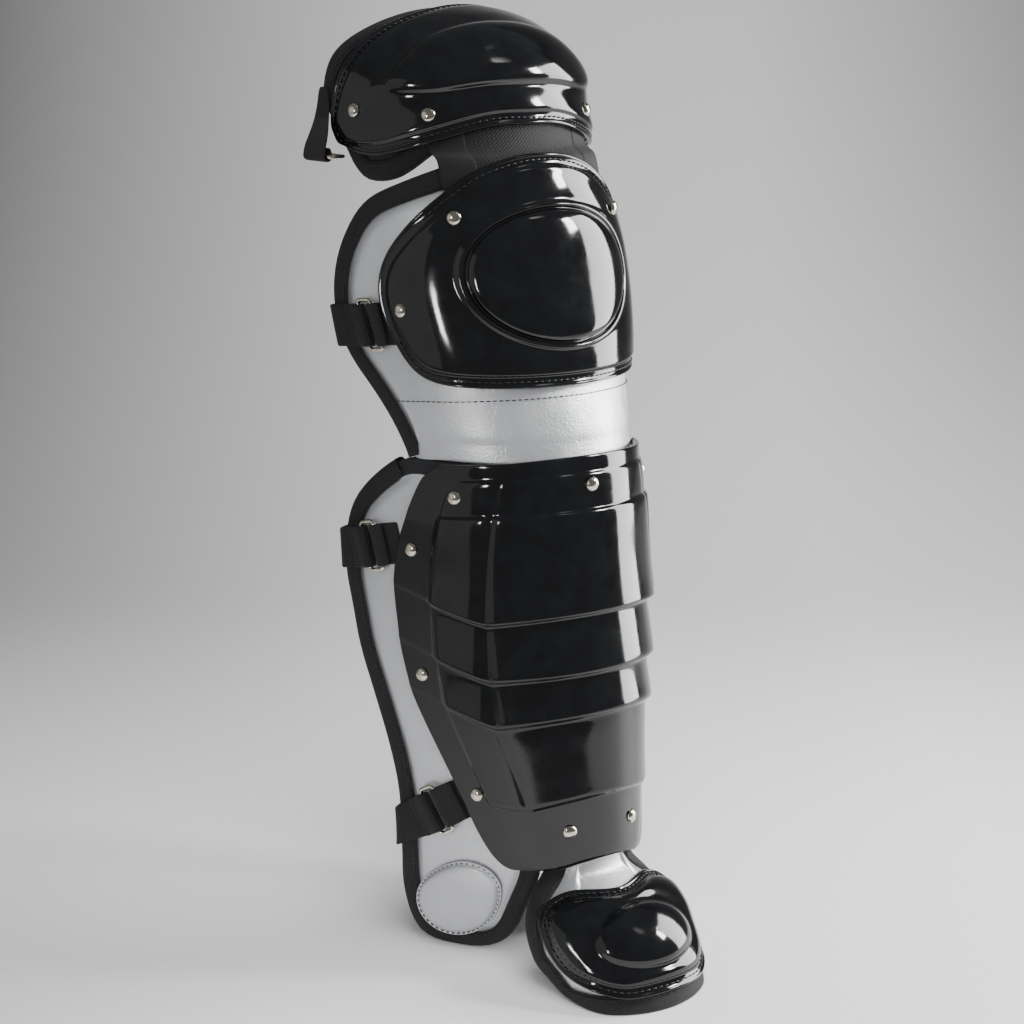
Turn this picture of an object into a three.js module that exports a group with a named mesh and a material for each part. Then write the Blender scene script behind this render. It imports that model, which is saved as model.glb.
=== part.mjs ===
// Leg guard: three moulded shells and a toe cap on padded cloth, stood upright on its toe and ankle wings.
// Millimetres, +Z up, front towards -Y. The left side is -X and mirrors the right side.
import * as THREE from 'three';

// Driving dimensions
const RISE = 500;             // floor to the top of the knee, along which the leg is measured
const REACH = 100;            // how far the front of the leg stands ahead of its axis
const GIRTH = 100;            // radius that the leg's bends and the distances round it follow
const TOE_LENGTH = 148;       // toe piece, from its hidden upper end down to the floor
const TOE_REACH = 169;        // floor distance from the leg's axis to the toe's front
const TOE_GIRTH = 100;        // radius that the toe's bends follow
const THIGH_LENGTH = 155;     // thigh cap, from its lower front to its rear rim
const THIGH_DEPTH = 101;      // how far the thigh cap's rim lies behind its lower front
const THIGH_RISE = 94;        // how far the thigh cap's rim lies above its lower front
const THIGH_GIRTH = 100;      // radius that the thigh cap's bends follow

const PAD_THICK = 11;         // knee, shin and thigh padding
const TOE_PAD_THICK = 7;      // thinner padding of the toe piece
const SHELL_WALL = 2.6;       // moulded plastic
const SHELL_STANDOFF = 3.25;  // space for webbing between a shell and its padding
const TOE_STANDOFF = 1.5;     // the toe cap is sewn straight to its padding
const TAPE_THICK = 1.4;       // woven binding folded round the padding's edge
const TAPE_WIDTH = 12;        // width of the binding on each face
const TAPE_GAP = 0.9;         // space between binding and padding
const TAPE_SINK = 0.2;        // how far the binding's face lies below the padding's
const WEB_THICK = 1.4;        // nylon webbing of tabs and hinges
const WEB_GAP = 0.7;          // space between webbing and what it lies on
const STRAP_WIDTH = 28;       // elastic strap and its tabs
const STRAP_THICK = 2;        // elastic strap
const STRAP_BOW = 28;         // angle at which a strap leaves the wing on its way behind the leg
const RING_WIRE = 3;          // wire of the rings
const RING_LENGTH = 14;       // ring, measured along its strap
const RING_BEND = 2.5;        // radius of its corners
const RING_CLEAR = 0.8;       // space between a strap's edge and its ring
const FOLD_CLEAR = 0.75;      // space between a ring's bar and the webbing folded round it
const STRAP_TAIL = 13;        // free end of a strap behind its ring
const TAB_TUCK = 10;          // how far a tab reaches under its shell
const TAB_END = 1.5;          // distance from a tab's free end to its shell
const FLOOR_SNAP = 0.9;       // bindings that come this near to the floor lie flat on it
const RIVET_RADIUS = 5;       // domed rivet heads
const RIVET_HEIGHT = 2.8;
const RIVET_SEAT = 0.45;      // space between a rivet head and its shell
const DISC_RADIUS = 32;       // round pads on the ankle wings
const DISC_THICK = 5;
const FLANGE = 9;             // stitched rim round the shells
const FLANGE_STEP = 3;        // width of the step from the rim up to the shell
const CROWN = 2;              // height of that step
const BOSS_LENGTH = 62;       // half-axes of the knee's oval boss
const BOSS_HEIGHT = 44;
const BOSS_RISE = 9.5;        // how far the knee's boss stands out
const TOE_DOME_RISE = 9;      // how far the toe's dome stands out
const BULGE_RISE = 9;         // how far the thigh's bulge stands out
const HINGE_WEB_WIDTH = 25;   // webbing on either side of the hinge cloth
const HINGE_CLEAR = 1.5;      // space between that webbing and the cloth

const LOOK = {
  plastic: { color: 0x101112, roughness: 0.12, metalness: 0 },
  silver: { color: 0xbfc0c2, roughness: 0.42, metalness: 0.35 },
  webbing: { color: 0x121214, roughness: 0.85, metalness: 0 },
  metal: { color: 0xc9c6c0, roughness: 0.15, metalness: 1 },
};

const guard = new THREE.Group();
const rad = THREE.MathUtils.degToRad;

// Curves through short tables
function smoothValue(rows, key, at) {
  const last = rows.length - 1;
  let i = 0;
  while (i < last - 1 && at > rows[i + 1].along) i += 1;
  const slope = (k) => (rows[k + 1][key] - rows[k][key]) / (rows[k + 1].along - rows[k].along);
  const tangent = (k) => (k === 0 ? slope(0) : k === last ? slope(last - 1) : (slope(k - 1) + slope(k)) / 2);
  const span = rows[i + 1].along - rows[i].along;
  const t = THREE.MathUtils.clamp((at - rows[i].along) / span, 0, 1);
  const past = Math.max(at - rows[last].along, 0) + Math.min(at - rows[0].along, 0);
  const a = (2 * t - 3) * t * t + 1;
  const b = ((t - 2) * t + 1) * t * span;
  const c = (3 - 2 * t) * t * t;
  const d = (t - 1) * t * t * span;
  const end = past > 0 ? tangent(last) : tangent(0);
  return a * rows[i][key] + b * tangent(i) + c * rows[i + 1][key] + d * tangent(i + 1) + past * end;
}

// A form is a curved surface. "across" is the distance round it from its front line, "along" the distance
// down its front line, and "lift" the height above it. Each section bends by radius "nose" up to the heading
// "noseTurn", by radius "side" up to "sideTurn", and runs straight from there.
function makeForm(rows) {
  const at = (key, along) => smoothValue(rows, key, along);
  return (across, along, lift = 0) => {
    const way = Math.sign(across);
    const reach = Math.abs(across);
    const nose = at('nose', along);
    const side = at('side', along);
    const turn1 = rad(at('noseTurn', along));
    const turn2 = rad(at('sideTurn', along));
    const end1 = nose * turn1;
    const end2 = end1 + side * (turn2 - turn1);
    const h1 = Math.min(reach / nose, turn1);
    const h2 = turn1 + THREE.MathUtils.clamp((reach - end1) / side, 0, turn2 - turn1);
    const run = Math.max(reach - end2, 0);
    const heading = reach > end1 ? h2 : h1;
    let x = nose * Math.sin(h1) + side * (Math.sin(h2) - Math.sin(turn1)) + run * Math.cos(turn2);
    let deep = nose * (1 - Math.cos(h1)) + side * (Math.cos(turn1) - Math.cos(h2)) + run * Math.sin(turn2);
    x += lift * Math.sin(heading);
    deep -= lift * Math.cos(heading);
    const tilt = rad(at('tilt', along));
    return new THREE.Vector3(way * x, at('front', along) + deep * Math.cos(tilt), at('up', along) + deep * Math.sin(tilt));
  };
}

// Sections of the leg, from the floor up: shares of RISE, REACH and GIRTH, turns in degrees
const legRows = [
  { along: 0.00, front: -0.62, nose: 0.44, noseTurn: 42, side: 0.80, sideTurn: 58 },
  { along: 0.08, front: -0.74, nose: 0.48, noseTurn: 45, side: 0.86, sideTurn: 59 },
  { along: 0.144, front: -0.89, nose: 0.54, noseTurn: 48, side: 0.96, sideTurn: 61 },
  { along: 0.212, front: -0.875, nose: 0.58, noseTurn: 48, side: 1.00, sideTurn: 62 },
  { along: 0.40, front: -0.81, nose: 0.71, noseTurn: 48, side: 1.10, sideTurn: 67 },
  { along: 0.60, front: -0.72, nose: 0.81, noseTurn: 48, side: 1.10, sideTurn: 70 },
  { along: 0.69, front: -0.67, nose: 0.80, noseTurn: 46, side: 1.00, sideTurn: 70 },
  { along: 0.80, front: -0.51, nose: 0.92, noseTurn: 44, side: 0.70, sideTurn: 70 },
  { along: 0.92, front: -0.33, nose: 1.08, noseTurn: 42, side: 0.55, sideTurn: 70 },
  { along: 1.00, front: -0.24, nose: 1.04, noseTurn: 42, side: 0.55, sideTurn: 72 },
  { along: 1.10, front: -0.13, nose: 0.96, noseTurn: 42, side: 0.60, sideTurn: 74 },
];
const leg = makeForm(legRows.map((row) => ({
  ...row,
  along: row.along * RISE,
  up: row.along * RISE,
  front: row.front * REACH,
  nose: row.nose * GIRTH,
  side: row.side * GIRTH,
  tilt: 0,
})));

// Sections of the toe, from its hidden upper end to the floor: shares of TOE_LENGTH, RISE and TOE_GIRTH. "front"
// is the share of its way from the front of the ankle to TOE_REACH.
const TOE_ROOT = 0.872 * REACH;
const toeRows = [
  { along: 0.00, front: 0.000, up: 0.224, tilt: 0, nose: 0.57, noseTurn: 48, side: 0.60, sideTurn: 62 },
  { along: 0.19, front: 0.019, up: 0.168, tilt: 0, nose: 0.55, noseTurn: 48, side: 0.60, sideTurn: 64 },
  { along: 0.255, front: 0.029, up: 0.149, tilt: -8, nose: 0.55, noseTurn: 46, side: 0.50, sideTurn: 66 },
  { along: 0.35, front: 0.157, up: 0.132, tilt: -35, nose: 0.80, noseTurn: 32, side: 0.34, sideTurn: 74 },
  { along: 0.445, front: 0.316, up: 0.119, tilt: -48, nose: 1.05, noseTurn: 24, side: 0.22, sideTurn: 80 },
  { along: 0.64, front: 0.597, up: 0.084, tilt: -38, nose: 0.78, noseTurn: 34, side: 0.20, sideTurn: 82 },
  { along: 0.88, front: 0.890, up: 0.034, tilt: -18, nose: 0.68, noseTurn: 35, side: 0.26, sideTurn: 84 },
  { along: 1.00, front: 1.000, up: 0.000, tilt: 0, nose: 0.65, noseTurn: 35, side: 0.28, sideTurn: 85 },
];
const toe = makeForm(toeRows.map((row) => ({
  ...row,
  along: row.along * TOE_LENGTH,
  up: row.up * RISE,
  front: -TOE_ROOT - row.front * (TOE_REACH - TOE_ROOT),
  nose: row.nose * TOE_GIRTH,
  side: row.side * TOE_GIRTH,
})));

// Sections of the thigh cap, fanned from its level lower front to its upright rear rim
const THIGH_FRONT = -0.03 * REACH;
const THIGH_FOOT = 1.098 * RISE;
const thighRows = [
  { along: -0.13, front: 0.00, up: -0.21, tilt: -1, nose: 0.92, noseTurn: 45, side: 0.76, sideTurn: 80 },
  { along: 0.00, front: 0.00, up: 0.00, tilt: -2, nose: 0.92, noseTurn: 45, side: 0.76, sideTurn: 80 },
  { along: 0.22, front: 0.09, up: 0.34, tilt: -20, nose: 0.94, noseTurn: 44, side: 0.76, sideTurn: 82 },
  { along: 0.465, front: 0.30, up: 0.66, tilt: -40, nose: 1.06, noseTurn: 40, side: 0.66, sideTurn: 85 },
  { along: 0.70, front: 0.585, up: 0.87, tilt: -60, nose: 1.24, noseTurn: 36, side: 0.53, sideTurn: 88 },
  { along: 1.00, front: 1.00, up: 1.00, tilt: -86, nose: 1.58, noseTurn: 29, side: 0.42, sideTurn: 88 },
];
const thigh = makeForm(thighRows.map((row) => ({
  ...row,
  along: row.along * THIGH_LENGTH,
  up: THIGH_FOOT + row.up * THIGH_RISE,
  front: THIGH_FRONT + row.front * THIGH_DEPTH,
  nose: row.nose * THIGH_GIRTH,
  side: row.side * THIGH_GIRTH,
})));

// Closed skins from quads: equal points are joined and the whole is turned to face outwards
class Skin {
  constructor() {
    this.points = [];
    this.index = new Map();
    this.faces = [];
  }
  point(p) {
    const key = `${p.x.toFixed(3)},${p.y.toFixed(3)},${p.z.toFixed(3)}`;
    if (!this.index.has(key)) {
      this.index.set(key, this.points.length);
      this.points.push(p);
    }
    return this.index.get(key);
  }
  triangle(a, b, c) {
    const [i, j, k] = [this.point(a), this.point(b), this.point(c)];
    if (i !== j && j !== k && k !== i) this.faces.push([i, j, k]);
  }
  quad(a, b, c, d) {
    if (a.distanceTo(c) <= b.distanceTo(d)) {
      this.triangle(a, b, c);
      this.triangle(a, c, d);
    } else {
      this.triangle(a, b, d);
      this.triangle(b, c, d);
    }
  }
  geometry() {
    let volume = 0;
    for (const [i, j, k] of this.faces) {
      volume += this.points[i].dot(this.points[j].clone().cross(this.points[k]));
    }
    const faces = volume < 0 ? this.faces.map(([i, j, k]) => [i, k, j]) : this.faces;
    const geometry = new THREE.BufferGeometry();
    geometry.setAttribute('position', new THREE.Float32BufferAttribute(this.points.flatMap((p) => p.toArray()), 3));
    geometry.setIndex(faces.flat());
    geometry.computeVertexNormals();
    return geometry;
  }
}

function add(name, geometry, look) {
  const mesh = new THREE.Mesh(geometry, new THREE.MeshStandardMaterial(LOOK[look]));
  mesh.name = name;
  guard.add(mesh);
  return mesh;
}

// Joins two matching grids, face and back, into one closed wall. "round" closes each row on itself.
function wallBetween(face, back, round) {
  const skin = new Skin();
  const rows = face.length - 1;
  const columns = face[0].length;
  const last = round ? columns : columns - 1;
  const next = (j) => (j + 1) % columns;
  for (let i = 0; i < rows; i += 1) {
    for (let j = 0; j < last; j += 1) {
      const k = next(j);
      skin.quad(face[i][j], face[i][k], face[i + 1][k], face[i + 1][j]);
      skin.quad(back[i][j], back[i + 1][j], back[i + 1][k], back[i][k]);
    }
  }
  for (let j = 0; j < last; j += 1) {
    const k = next(j);
    skin.quad(face[0][k], face[0][j], back[0][j], back[0][k]);
    skin.quad(face[rows][j], face[rows][k], back[rows][k], back[rows][j]);
  }
  if (!round) {
    for (let i = 0; i < rows; i += 1) {
      skin.quad(face[i][0], face[i + 1][0], back[i + 1][0], back[i][0]);
      skin.quad(face[i + 1][last], face[i][last], back[i][last], back[i + 1][last]);
    }
  }
  return skin.geometry();
}

// Sweeps closed sections, one list of points for each station. "round" joins the last station to the first;
// otherwise "caps" names the section's points that close each end, four by four.
function sweep(sections, round, caps = [[0, 1, 2, 3]]) {
  const skin = new Skin();
  const stations = sections.length;
  const sides = sections[0].length;
  for (let i = 0; i < (round ? stations : stations - 1); i += 1) {
    const here = sections[i];
    const there = sections[(i + 1) % stations];
    for (let j = 0; j < sides; j += 1) {
      const k = (j + 1) % sides;
      skin.quad(here[j], here[k], there[k], there[j]);
    }
  }
  if (!round) {
    for (const cap of caps) {
      const [a, b, c, d] = cap.map((j) => sections[0][j]);
      skin.triangle(a, c, b);
      skin.triangle(a, d, c);
      const [e, f, g, h] = cap.map((j) => sections[stations - 1][j]);
      skin.triangle(e, f, g);
      skin.triangle(e, g, h);
    }
  }
  return skin.geometry();
}

// Outlines: half tables from the top centre to the bottom centre, as { across, along }, mirrored to the left
function curveThrough(points, closed) {
  const flat = points.map((p) => new THREE.Vector3(p.across, p.along, 0));
  return new THREE.CatmullRomCurve3(flat, closed, 'centripetal');
}

function spread(curve, from, to, steps) {
  // equal steps of length between two control points of a curve
  const fine = 60;
  const path = [];
  for (let i = 0; i <= fine; i += 1) path.push(curve.getPoint(from + (to - from) * i / fine));
  const lengths = [0];
  for (let i = 1; i <= fine; i += 1) lengths.push(lengths[i - 1] + path[i].distanceTo(path[i - 1]));
  const result = [];
  for (let n = 0; n <= steps; n += 1) {
    const goal = lengths[fine] * n / steps;
    let i = 1;
    while (i < fine && lengths[i] < goal) i += 1;
    const t = (goal - lengths[i - 1]) / (lengths[i] - lengths[i - 1]);
    result.push(path[i - 1].clone().lerp(path[i], t));
  }
  return result;
}

// A loop of stations round an outline. steps gives the number of stations on each stretch of the half table,
// which is split at the rows that are marked as corners.
function loopOf(table, steps) {
  const mirrored = table.slice(1, -1).reverse().map((p) => ({ across: -p.across, along: p.along }));
  const all = [...table, ...mirrored];
  const curve = curveThrough(all, true);
  const stops = [0];
  table.forEach((row, i) => {
    if (row.corner) stops.push(i);
  });
  stops.push(table.length - 1);
  const half = [];
  for (let k = 0; k < steps.length; k += 1) {
    const piece = spread(curve, stops[k] / all.length, stops[k + 1] / all.length, steps[k]);
    half.push(...(k === 0 ? piece : piece.slice(1)));
  }
  const right = half.map((p) => ({ across: p.x, along: p.y }));
  right[0].across = 0;
  right[right.length - 1].across = 0;
  const left = right.slice(1, -1).reverse().map((p) => ({ across: -p.across, along: p.along }));
  return [...right, ...left];
}

// Moves each station of a loop outwards over the form by a real distance, inwards if it is negative, in short
// moves because the form's own scale changes on the way
const MOVE = 3;
const PROBE = 0.5;            // half the stretch of form over which its scale is measured
const LEAST_SCALE = 0.5;      // where sections fan out, their scale counts as no less than this
function grow(form, loop, distance, open = false) {
  const moves = Math.ceil(Math.abs(distance) / MOVE);
  let moved = loop;
  for (let n = 0; n < moves; n += 1) moved = growOnce(form, moved, distance / moves, open);
  return moved;
}

function growOnce(form, loop, distance, open) {
  const count = loop.length;
  return loop.map((here, i) => {
    const before = open && i === 0 ? here : loop[(i + count - 1) % count];
    const after = open && i === count - 1 ? here : loop[(i + 1) % count];
    const up = form(here.across, here.along + PROBE);
    const down = form(here.across, here.along - PROBE);
    const stretch = Math.max(up.distanceTo(down) / (2 * PROBE), LEAST_SCALE);
    const ta = after.across - before.across;
    const tb = (after.along - before.along) * stretch;
    const size = Math.hypot(ta, tb);
    return {
      across: here.across - distance * tb / size,
      along: here.along + distance * ta / size / stretch,
    };
  });
}

const blend = (a, b, share) => a.map((p, i) => ({
  across: p.across + (b[i].across - p.across) * share,
  along: p.along + (b[i].along - p.along) * share,
}));

const lay = (form, loop, lift) => loop.map((p) => form(p.across, p.along, lift));

// Fills a loop with a grid, as a Coons patch between its top, right, bottom and left stretches
function fillLoop(loop, wide, tall) {
  const half = wide / 2;
  const count = loop.length;
  const station = (i) => loop[(i + count) % count];
  const rows = [];
  for (let i = 0; i <= tall; i += 1) {
    const row = [];
    for (let j = 0; j <= wide; j += 1) {
      const u = j / wide;
      const w = i / tall;
      const top = station(j - half);
      const bottom = station(half + tall + wide - j);
      const left = station(-half - i);
      const right = station(half + i);
      const corners = [station(-half), station(half), station(half + tall), station(-half - tall)];
      const mix = (key) => (1 - w) * top[key] + w * bottom[key] + (1 - u) * left[key] + u * right[key]
        - (1 - u) * (1 - w) * corners[0][key] - u * (1 - w) * corners[1][key]
        - u * w * corners[2][key] - (1 - u) * w * corners[3][key];
      row.push({ across: mix('across'), along: mix('along') });
    }
    rows.push(row);
  }
  return rows;
}

// Padding: full thickness inside, pinched at its edge so that the binding lies flush
const PINCH = TAPE_THICK + TAPE_GAP + TAPE_SINK;
const PINCH_MARGIN = 1;       // pinched padding beyond the binding
const PINCH_SLOPE = 2;        // width over which the padding swells to its full thickness
function padSolid(form, loop, wide, tall, thick) {
  const skin = new Skin();
  const ramp = grow(form, loop, -TAPE_WIDTH - PINCH_MARGIN);
  const inner = grow(form, loop, -TAPE_WIDTH - PINCH_MARGIN - PINCH_SLOPE);
  const bands = [[loop, 0], [ramp, 0], [inner, 1]];
  const face = bands.map(([ring, full]) => lay(form, ring, full ? 0 : -PINCH));
  const back = bands.map(([ring, full]) => lay(form, ring, full ? -thick : PINCH - thick));
  const count = loop.length;
  for (let i = 0; i < bands.length - 1; i += 1) {
    for (let j = 0; j < count; j += 1) {
      const k = (j + 1) % count;
      skin.quad(face[i][j], face[i][k], face[i + 1][k], face[i + 1][j]);
      skin.quad(back[i][k], back[i][j], back[i + 1][j], back[i + 1][k]);
    }
  }
  for (let j = 0; j < count; j += 1) {
    const k = (j + 1) % count;
    skin.quad(face[0][k], face[0][j], back[0][j], back[0][k]);
  }
  const grid = fillLoop(inner, wide, tall);
  for (const [lift, flip] of [[0, false], [-thick, true]]) {
    const points = grid.map((row) => row.map((p) => form(p.across, p.along, lift)));
    for (let i = 0; i < tall; i += 1) {
      for (let j = 0; j < wide; j += 1) {
        const [a, b, c, d] = [points[i][j], points[i][j + 1], points[i + 1][j + 1], points[i + 1][j]];
        if (flip) skin.quad(d, c, b, a);
        else skin.quad(a, b, c, d);
      }
    }
  }
  return skin.geometry();
}

// Binding: woven tape folded round the padding's edge, with both legs flush with the padding's faces
function tapeSolid(form, loop, thick, open) {
  const outer = TAPE_GAP + TAPE_THICK;
  const top = -PINCH + TAPE_GAP;
  const low = PINCH - TAPE_GAP - thick;
  const section = [
    [-TAPE_WIDTH, top], [TAPE_GAP, top], [TAPE_GAP, low], [-TAPE_WIDTH, low],
    [-TAPE_WIDTH, low - TAPE_THICK], [outer, low - TAPE_THICK], [outer, top + TAPE_THICK],
    [-TAPE_WIDTH, top + TAPE_THICK],
  ];
  const strands = section.map(([out, lift]) => lay(form, grow(form, loop, out, open), lift));
  const [underside, topside] = [strands[5], strands[6]];
  for (const p of [...underside, ...topside]) if (Math.abs(p.z) < FLOOR_SNAP) p.z = 0;
  const sections = loop.map((_, i) => strands.map((strand) => strand[i]));
  return sweep(sections, !open, [[0, 1, 6, 7], [1, 2, 5, 6], [2, 3, 4, 5]]);
}

// Shell of nested rings: each is a loop and its raise above the shell's standoff
function ringShell(form, rings, standoff) {
  const face = rings.map(({ loop, raise }) => lay(form, loop, standoff + SHELL_WALL + raise));
  const back = rings.map(({ loop, raise }) => lay(form, loop, standoff + raise));
  return wallBetween(face, back, true);
}

const scaled = (rows, girth, length) => rows.map(({ across, along, corner }) => ({
  across: across * girth,
  along: along * length,
  corner,
}));
const pointLoop = (centre, count) => Array.from({ length: count }, () => centre);
const ovalLoop = (centre, across, along, count) => Array.from({ length: count }, (_, i) => {
  const turn = 2 * Math.PI * i / count;
  return { across: centre.across + across * Math.sin(turn), along: centre.along + along * Math.cos(turn) };
});

// Padding and bindings. The outlines are those of the finished edge, with its binding: shares of the girth
// across, and of the form's length along.
const EDGE = TAPE_GAP + TAPE_THICK;
const legTable = (rows) => scaled(rows, GIRTH, RISE);
const toeTable = (rows) => scaled(rows, TOE_GIRTH, TOE_LENGTH);
const thighTable = (rows) => scaled(rows, THIGH_GIRTH, THIGH_LENGTH);

const kneeEdge = legTable([
  { across: 0.00, along: 1.088 },
  { across: 0.60, along: 1.084 },
  { across: 0.81, along: 1.072 },
  { across: 1.00, along: 1.060 },
  { across: 1.34, along: 1.032, corner: true },
  { across: 1.56, along: 0.980 },
  { across: 1.65, along: 0.936 },
  { across: 1.69, along: 0.876 },
  { across: 1.64, along: 0.828 },
  { across: 1.47, along: 0.780 },
  { across: 1.33, along: 0.730 },
  { across: 1.27, along: 0.6970, corner: true },
  { across: 1.00, along: 0.6970 },
  { across: 0.00, along: 0.6970 },
]);
const shinEdge = legTable([
  { across: 0.00, along: 0.7035 },
  { across: 1.00, along: 0.7035 },
  { across: 1.30, along: 0.7000 },
  { across: 1.58, along: 0.672, corner: true },
  { across: 1.77, along: 0.636 },
  { across: 1.85, along: 0.602 },
  { across: 1.89, along: 0.526 },
  { across: 1.85, along: 0.486 },
  { across: 1.81, along: 0.432 },
  { across: 1.71, along: 0.370 },
  { across: 1.58, along: 0.290 },
  { across: 1.51, along: 0.224 },
  { across: 1.51, along: 0.156 },
  { across: 1.48, along: 0.126 },
  { across: 1.37, along: 0.070 },
  { across: 1.28, along: 0.032 },
  { across: 1.18, along: 0.008 },
  { across: 1.07, along: 0.000, corner: true },
  { across: 0.72, along: 0.000 },
  { across: 0.61, along: 0.008 },
  { across: 0.50, along: 0.028 },
  { across: 0.46, along: 0.052 },
  { across: 0.43, along: 0.132 },
  { across: 0.42, along: 0.200 },
  { across: 0.34, along: 0.236 },
  { across: 0.00, along: 0.240 },
]);
const toeEdge = toeTable([
  { across: 0.00, along: 1.00 },
  { across: 0.36, along: 1.00 },
  { across: 0.52, along: 1.00, corner: true },
  { across: 0.72, along: 0.99 },
  { across: 0.81, along: 0.86 },
  { across: 0.84, along: 0.70 },
  { across: 0.87, along: 0.55 },
  { across: 0.86, along: 0.47 },
  { across: 0.77, along: 0.40, corner: true },
  { across: 0.58, along: 0.315 },
  { across: 0.40, along: 0.245 },
  { across: 0.36, along: 0.17 },
  { across: 0.34, along: 0.06 },
  { across: 0.26, along: 0.00 },
  { across: 0.00, along: 0.00 },
]);
const thighEdge = thighTable([
  { across: 0.00, along: 1.00 },
  { across: 0.54, along: 1.00 },
  { across: 0.84, along: 1.00 },
  { across: 1.05, along: 1.00, corner: true },
  { across: 1.24, along: 0.96 },
  { across: 1.34, along: 0.70 },
  { across: 1.38, along: 0.38 },
  { across: 1.38, along: 0.10 },
  { across: 1.33, along: -0.06 },
  { across: 1.22, along: -0.12, corner: true },
  { across: 0.95, along: -0.12 },
  { across: 0.75, along: -0.05 },
  { across: 0.60, along: 0.02 },
  { across: 0.00, along: 0.04 },
]);

// Adds a pad inside its finished outline and returns the pad's own edge
function addPad(name, form, table, [top, side], thick) {
  const edge = loopOf(table, [top, side, top]);
  const loop = grow(form, edge, -EDGE);
  add(`${name}_pad`, padSolid(form, loop, 2 * top, side, thick), 'silver');
  return loop;
}

// The stretch of a loop between two stations, counted from its top centre
function bound(loop, from, to) {
  const count = loop.length;
  const stretch = [];
  for (let i = from; i <= to; i += 1) stretch.push(loop[(i + count) % count]);
  return stretch;
}

const KNEE_STEPS = [6, 7];    // stations on the half of its top and on its side
const kneeLoop = addPad('knee', leg, kneeEdge, KNEE_STEPS, PAD_THICK);
const kneeCorner = KNEE_STEPS[0] + KNEE_STEPS[1];
add('knee_binding', tapeSolid(leg, bound(kneeLoop, -kneeCorner, kneeCorner), PAD_THICK, true), 'webbing');

const SHIN_STEPS = [7, 13];
const shinLoop = addPad('shin', leg, shinEdge, SHIN_STEPS, PAD_THICK);
const shinTop = SHIN_STEPS[0] - 1;
add('shin_binding', tapeSolid(leg, bound(shinLoop, shinTop, shinLoop.length - shinTop), PAD_THICK, true), 'webbing');

const TOE_STEPS = [5, 6];
const toeLoop = addPad('toe', toe, toeEdge, TOE_STEPS, TOE_PAD_THICK);
add('toe_binding', tapeSolid(toe, toeLoop, TOE_PAD_THICK, false), 'webbing');

const THIGH_STEPS = [6, 6];
const thighLoop = addPad('thigh', thigh, thighEdge, THIGH_STEPS, PAD_THICK);
add('thigh_binding', tapeSolid(thigh, thighLoop, PAD_THICK, false), 'webbing');

// Moulded shells
const SHELL_STEPS = 15;       // stations round half of a shell's outline
const TOE_SHELL_STEPS = 12;   // and round half of the toe cap's outline

function flangeRings(form, edge) {
  return [
    { loop: edge, raise: 0 },
    { loop: grow(form, edge, FLANGE_STEP / 3 - FLANGE), raise: 0 },
    { loop: grow(form, edge, -FLANGE_STEP * 2 / 3 - FLANGE), raise: CROWN },
  ];
}

const kneeShellEdge = loopOf(legTable([
  { across: 0.00, along: 1.098 },
  { across: 0.16, along: 1.096 },
  { across: 0.43, along: 1.080 },
  { across: 0.60, along: 1.060 },
  { across: 0.83, along: 1.026 },
  { across: 1.02, along: 0.990 },
  { across: 1.16, along: 0.956 },
  { across: 1.22, along: 0.922 },
  { across: 1.21, along: 0.886 },
  { across: 1.15, along: 0.852 },
  { across: 1.05, along: 0.820 },
  { across: 0.92, along: 0.806 },
  { across: 0.70, along: 0.801 },
  { across: 0.38, along: 0.800 },
  { across: 0.00, along: 0.800 },
]), [SHELL_STEPS]);
const bossCentre = { across: 0, along: 0.942 * RISE };
const boss = (share) => ovalLoop(bossCentre, BOSS_LENGTH * share, BOSS_HEIGHT * share, 2 * SHELL_STEPS);
const kneeRings = flangeRings(leg, kneeShellEdge);
// Rings of the boss, from its outer welt over the groove to its middle: shares of its size and of its rise
const bossRings = [
  { share: 1.20, rise: 0.16 },
  { share: 1.10, rise: 0.42 },
  { share: 1.00, rise: 0.32 },
  { share: 0.90, rise: 0.74 },
  { share: 0.55, rise: 0.95 },
  { share: 0.00, rise: 1.00 },
];
const kneeShell = add('knee_shell', ringShell(leg, [
  ...kneeRings,
  { loop: blend(kneeRings[2].loop, boss(bossRings[0].share), 0.55), raise: CROWN + BOSS_RISE * bossRings[0].rise },
  ...bossRings.map(({ share, rise }) => ({ loop: boss(share), raise: CROWN + BOSS_RISE * rise })),
], SHELL_STANDOFF), 'plastic');

const toeShellEdge = loopOf(toeTable([
  { across: 0.00, along: 0.92 },
  { across: 0.19, along: 0.92 },
  { across: 0.31, along: 0.915 },
  { across: 0.42, along: 0.885 },
  { across: 0.52, along: 0.825 },
  { across: 0.60, along: 0.73 },
  { across: 0.64, along: 0.60 },
  { across: 0.64, along: 0.50 },
  { across: 0.61, along: 0.42 },
  { across: 0.54, along: 0.37 },
  { across: 0.42, along: 0.340 },
  { across: 0.28, along: 0.335 },
  { across: 0.14, along: 0.370 },
  { across: 0.00, along: 0.395 },
]), [TOE_SHELL_STEPS]);
const toeCentre = { across: 0, along: 0.655 * TOE_LENGTH };
const toeDome = (share) => ovalLoop(toeCentre, 0.36 * TOE_GIRTH * share, 0.15 * TOE_LENGTH * share, 2 * TOE_SHELL_STEPS);
const toeRings = flangeRings(toe, toeShellEdge);
const toeDomeRings = [
  { share: 1.00, rise: 0.17 },
  { share: 0.85, rise: 0.56 },
  { share: 0.45, rise: 0.89 },
  { share: 0.00, rise: 1.00 },
];
add('toe_shell', ringShell(toe, [
  ...toeRings,
  { loop: blend(toeRings[2].loop, toeDome(1), 0.6), raise: CROWN + TOE_DOME_RISE * 0.11 },
  ...toeDomeRings.map(({ share, rise }) => ({ loop: toeDome(share), raise: CROWN + TOE_DOME_RISE * rise })),
], TOE_STANDOFF), 'plastic');

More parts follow.
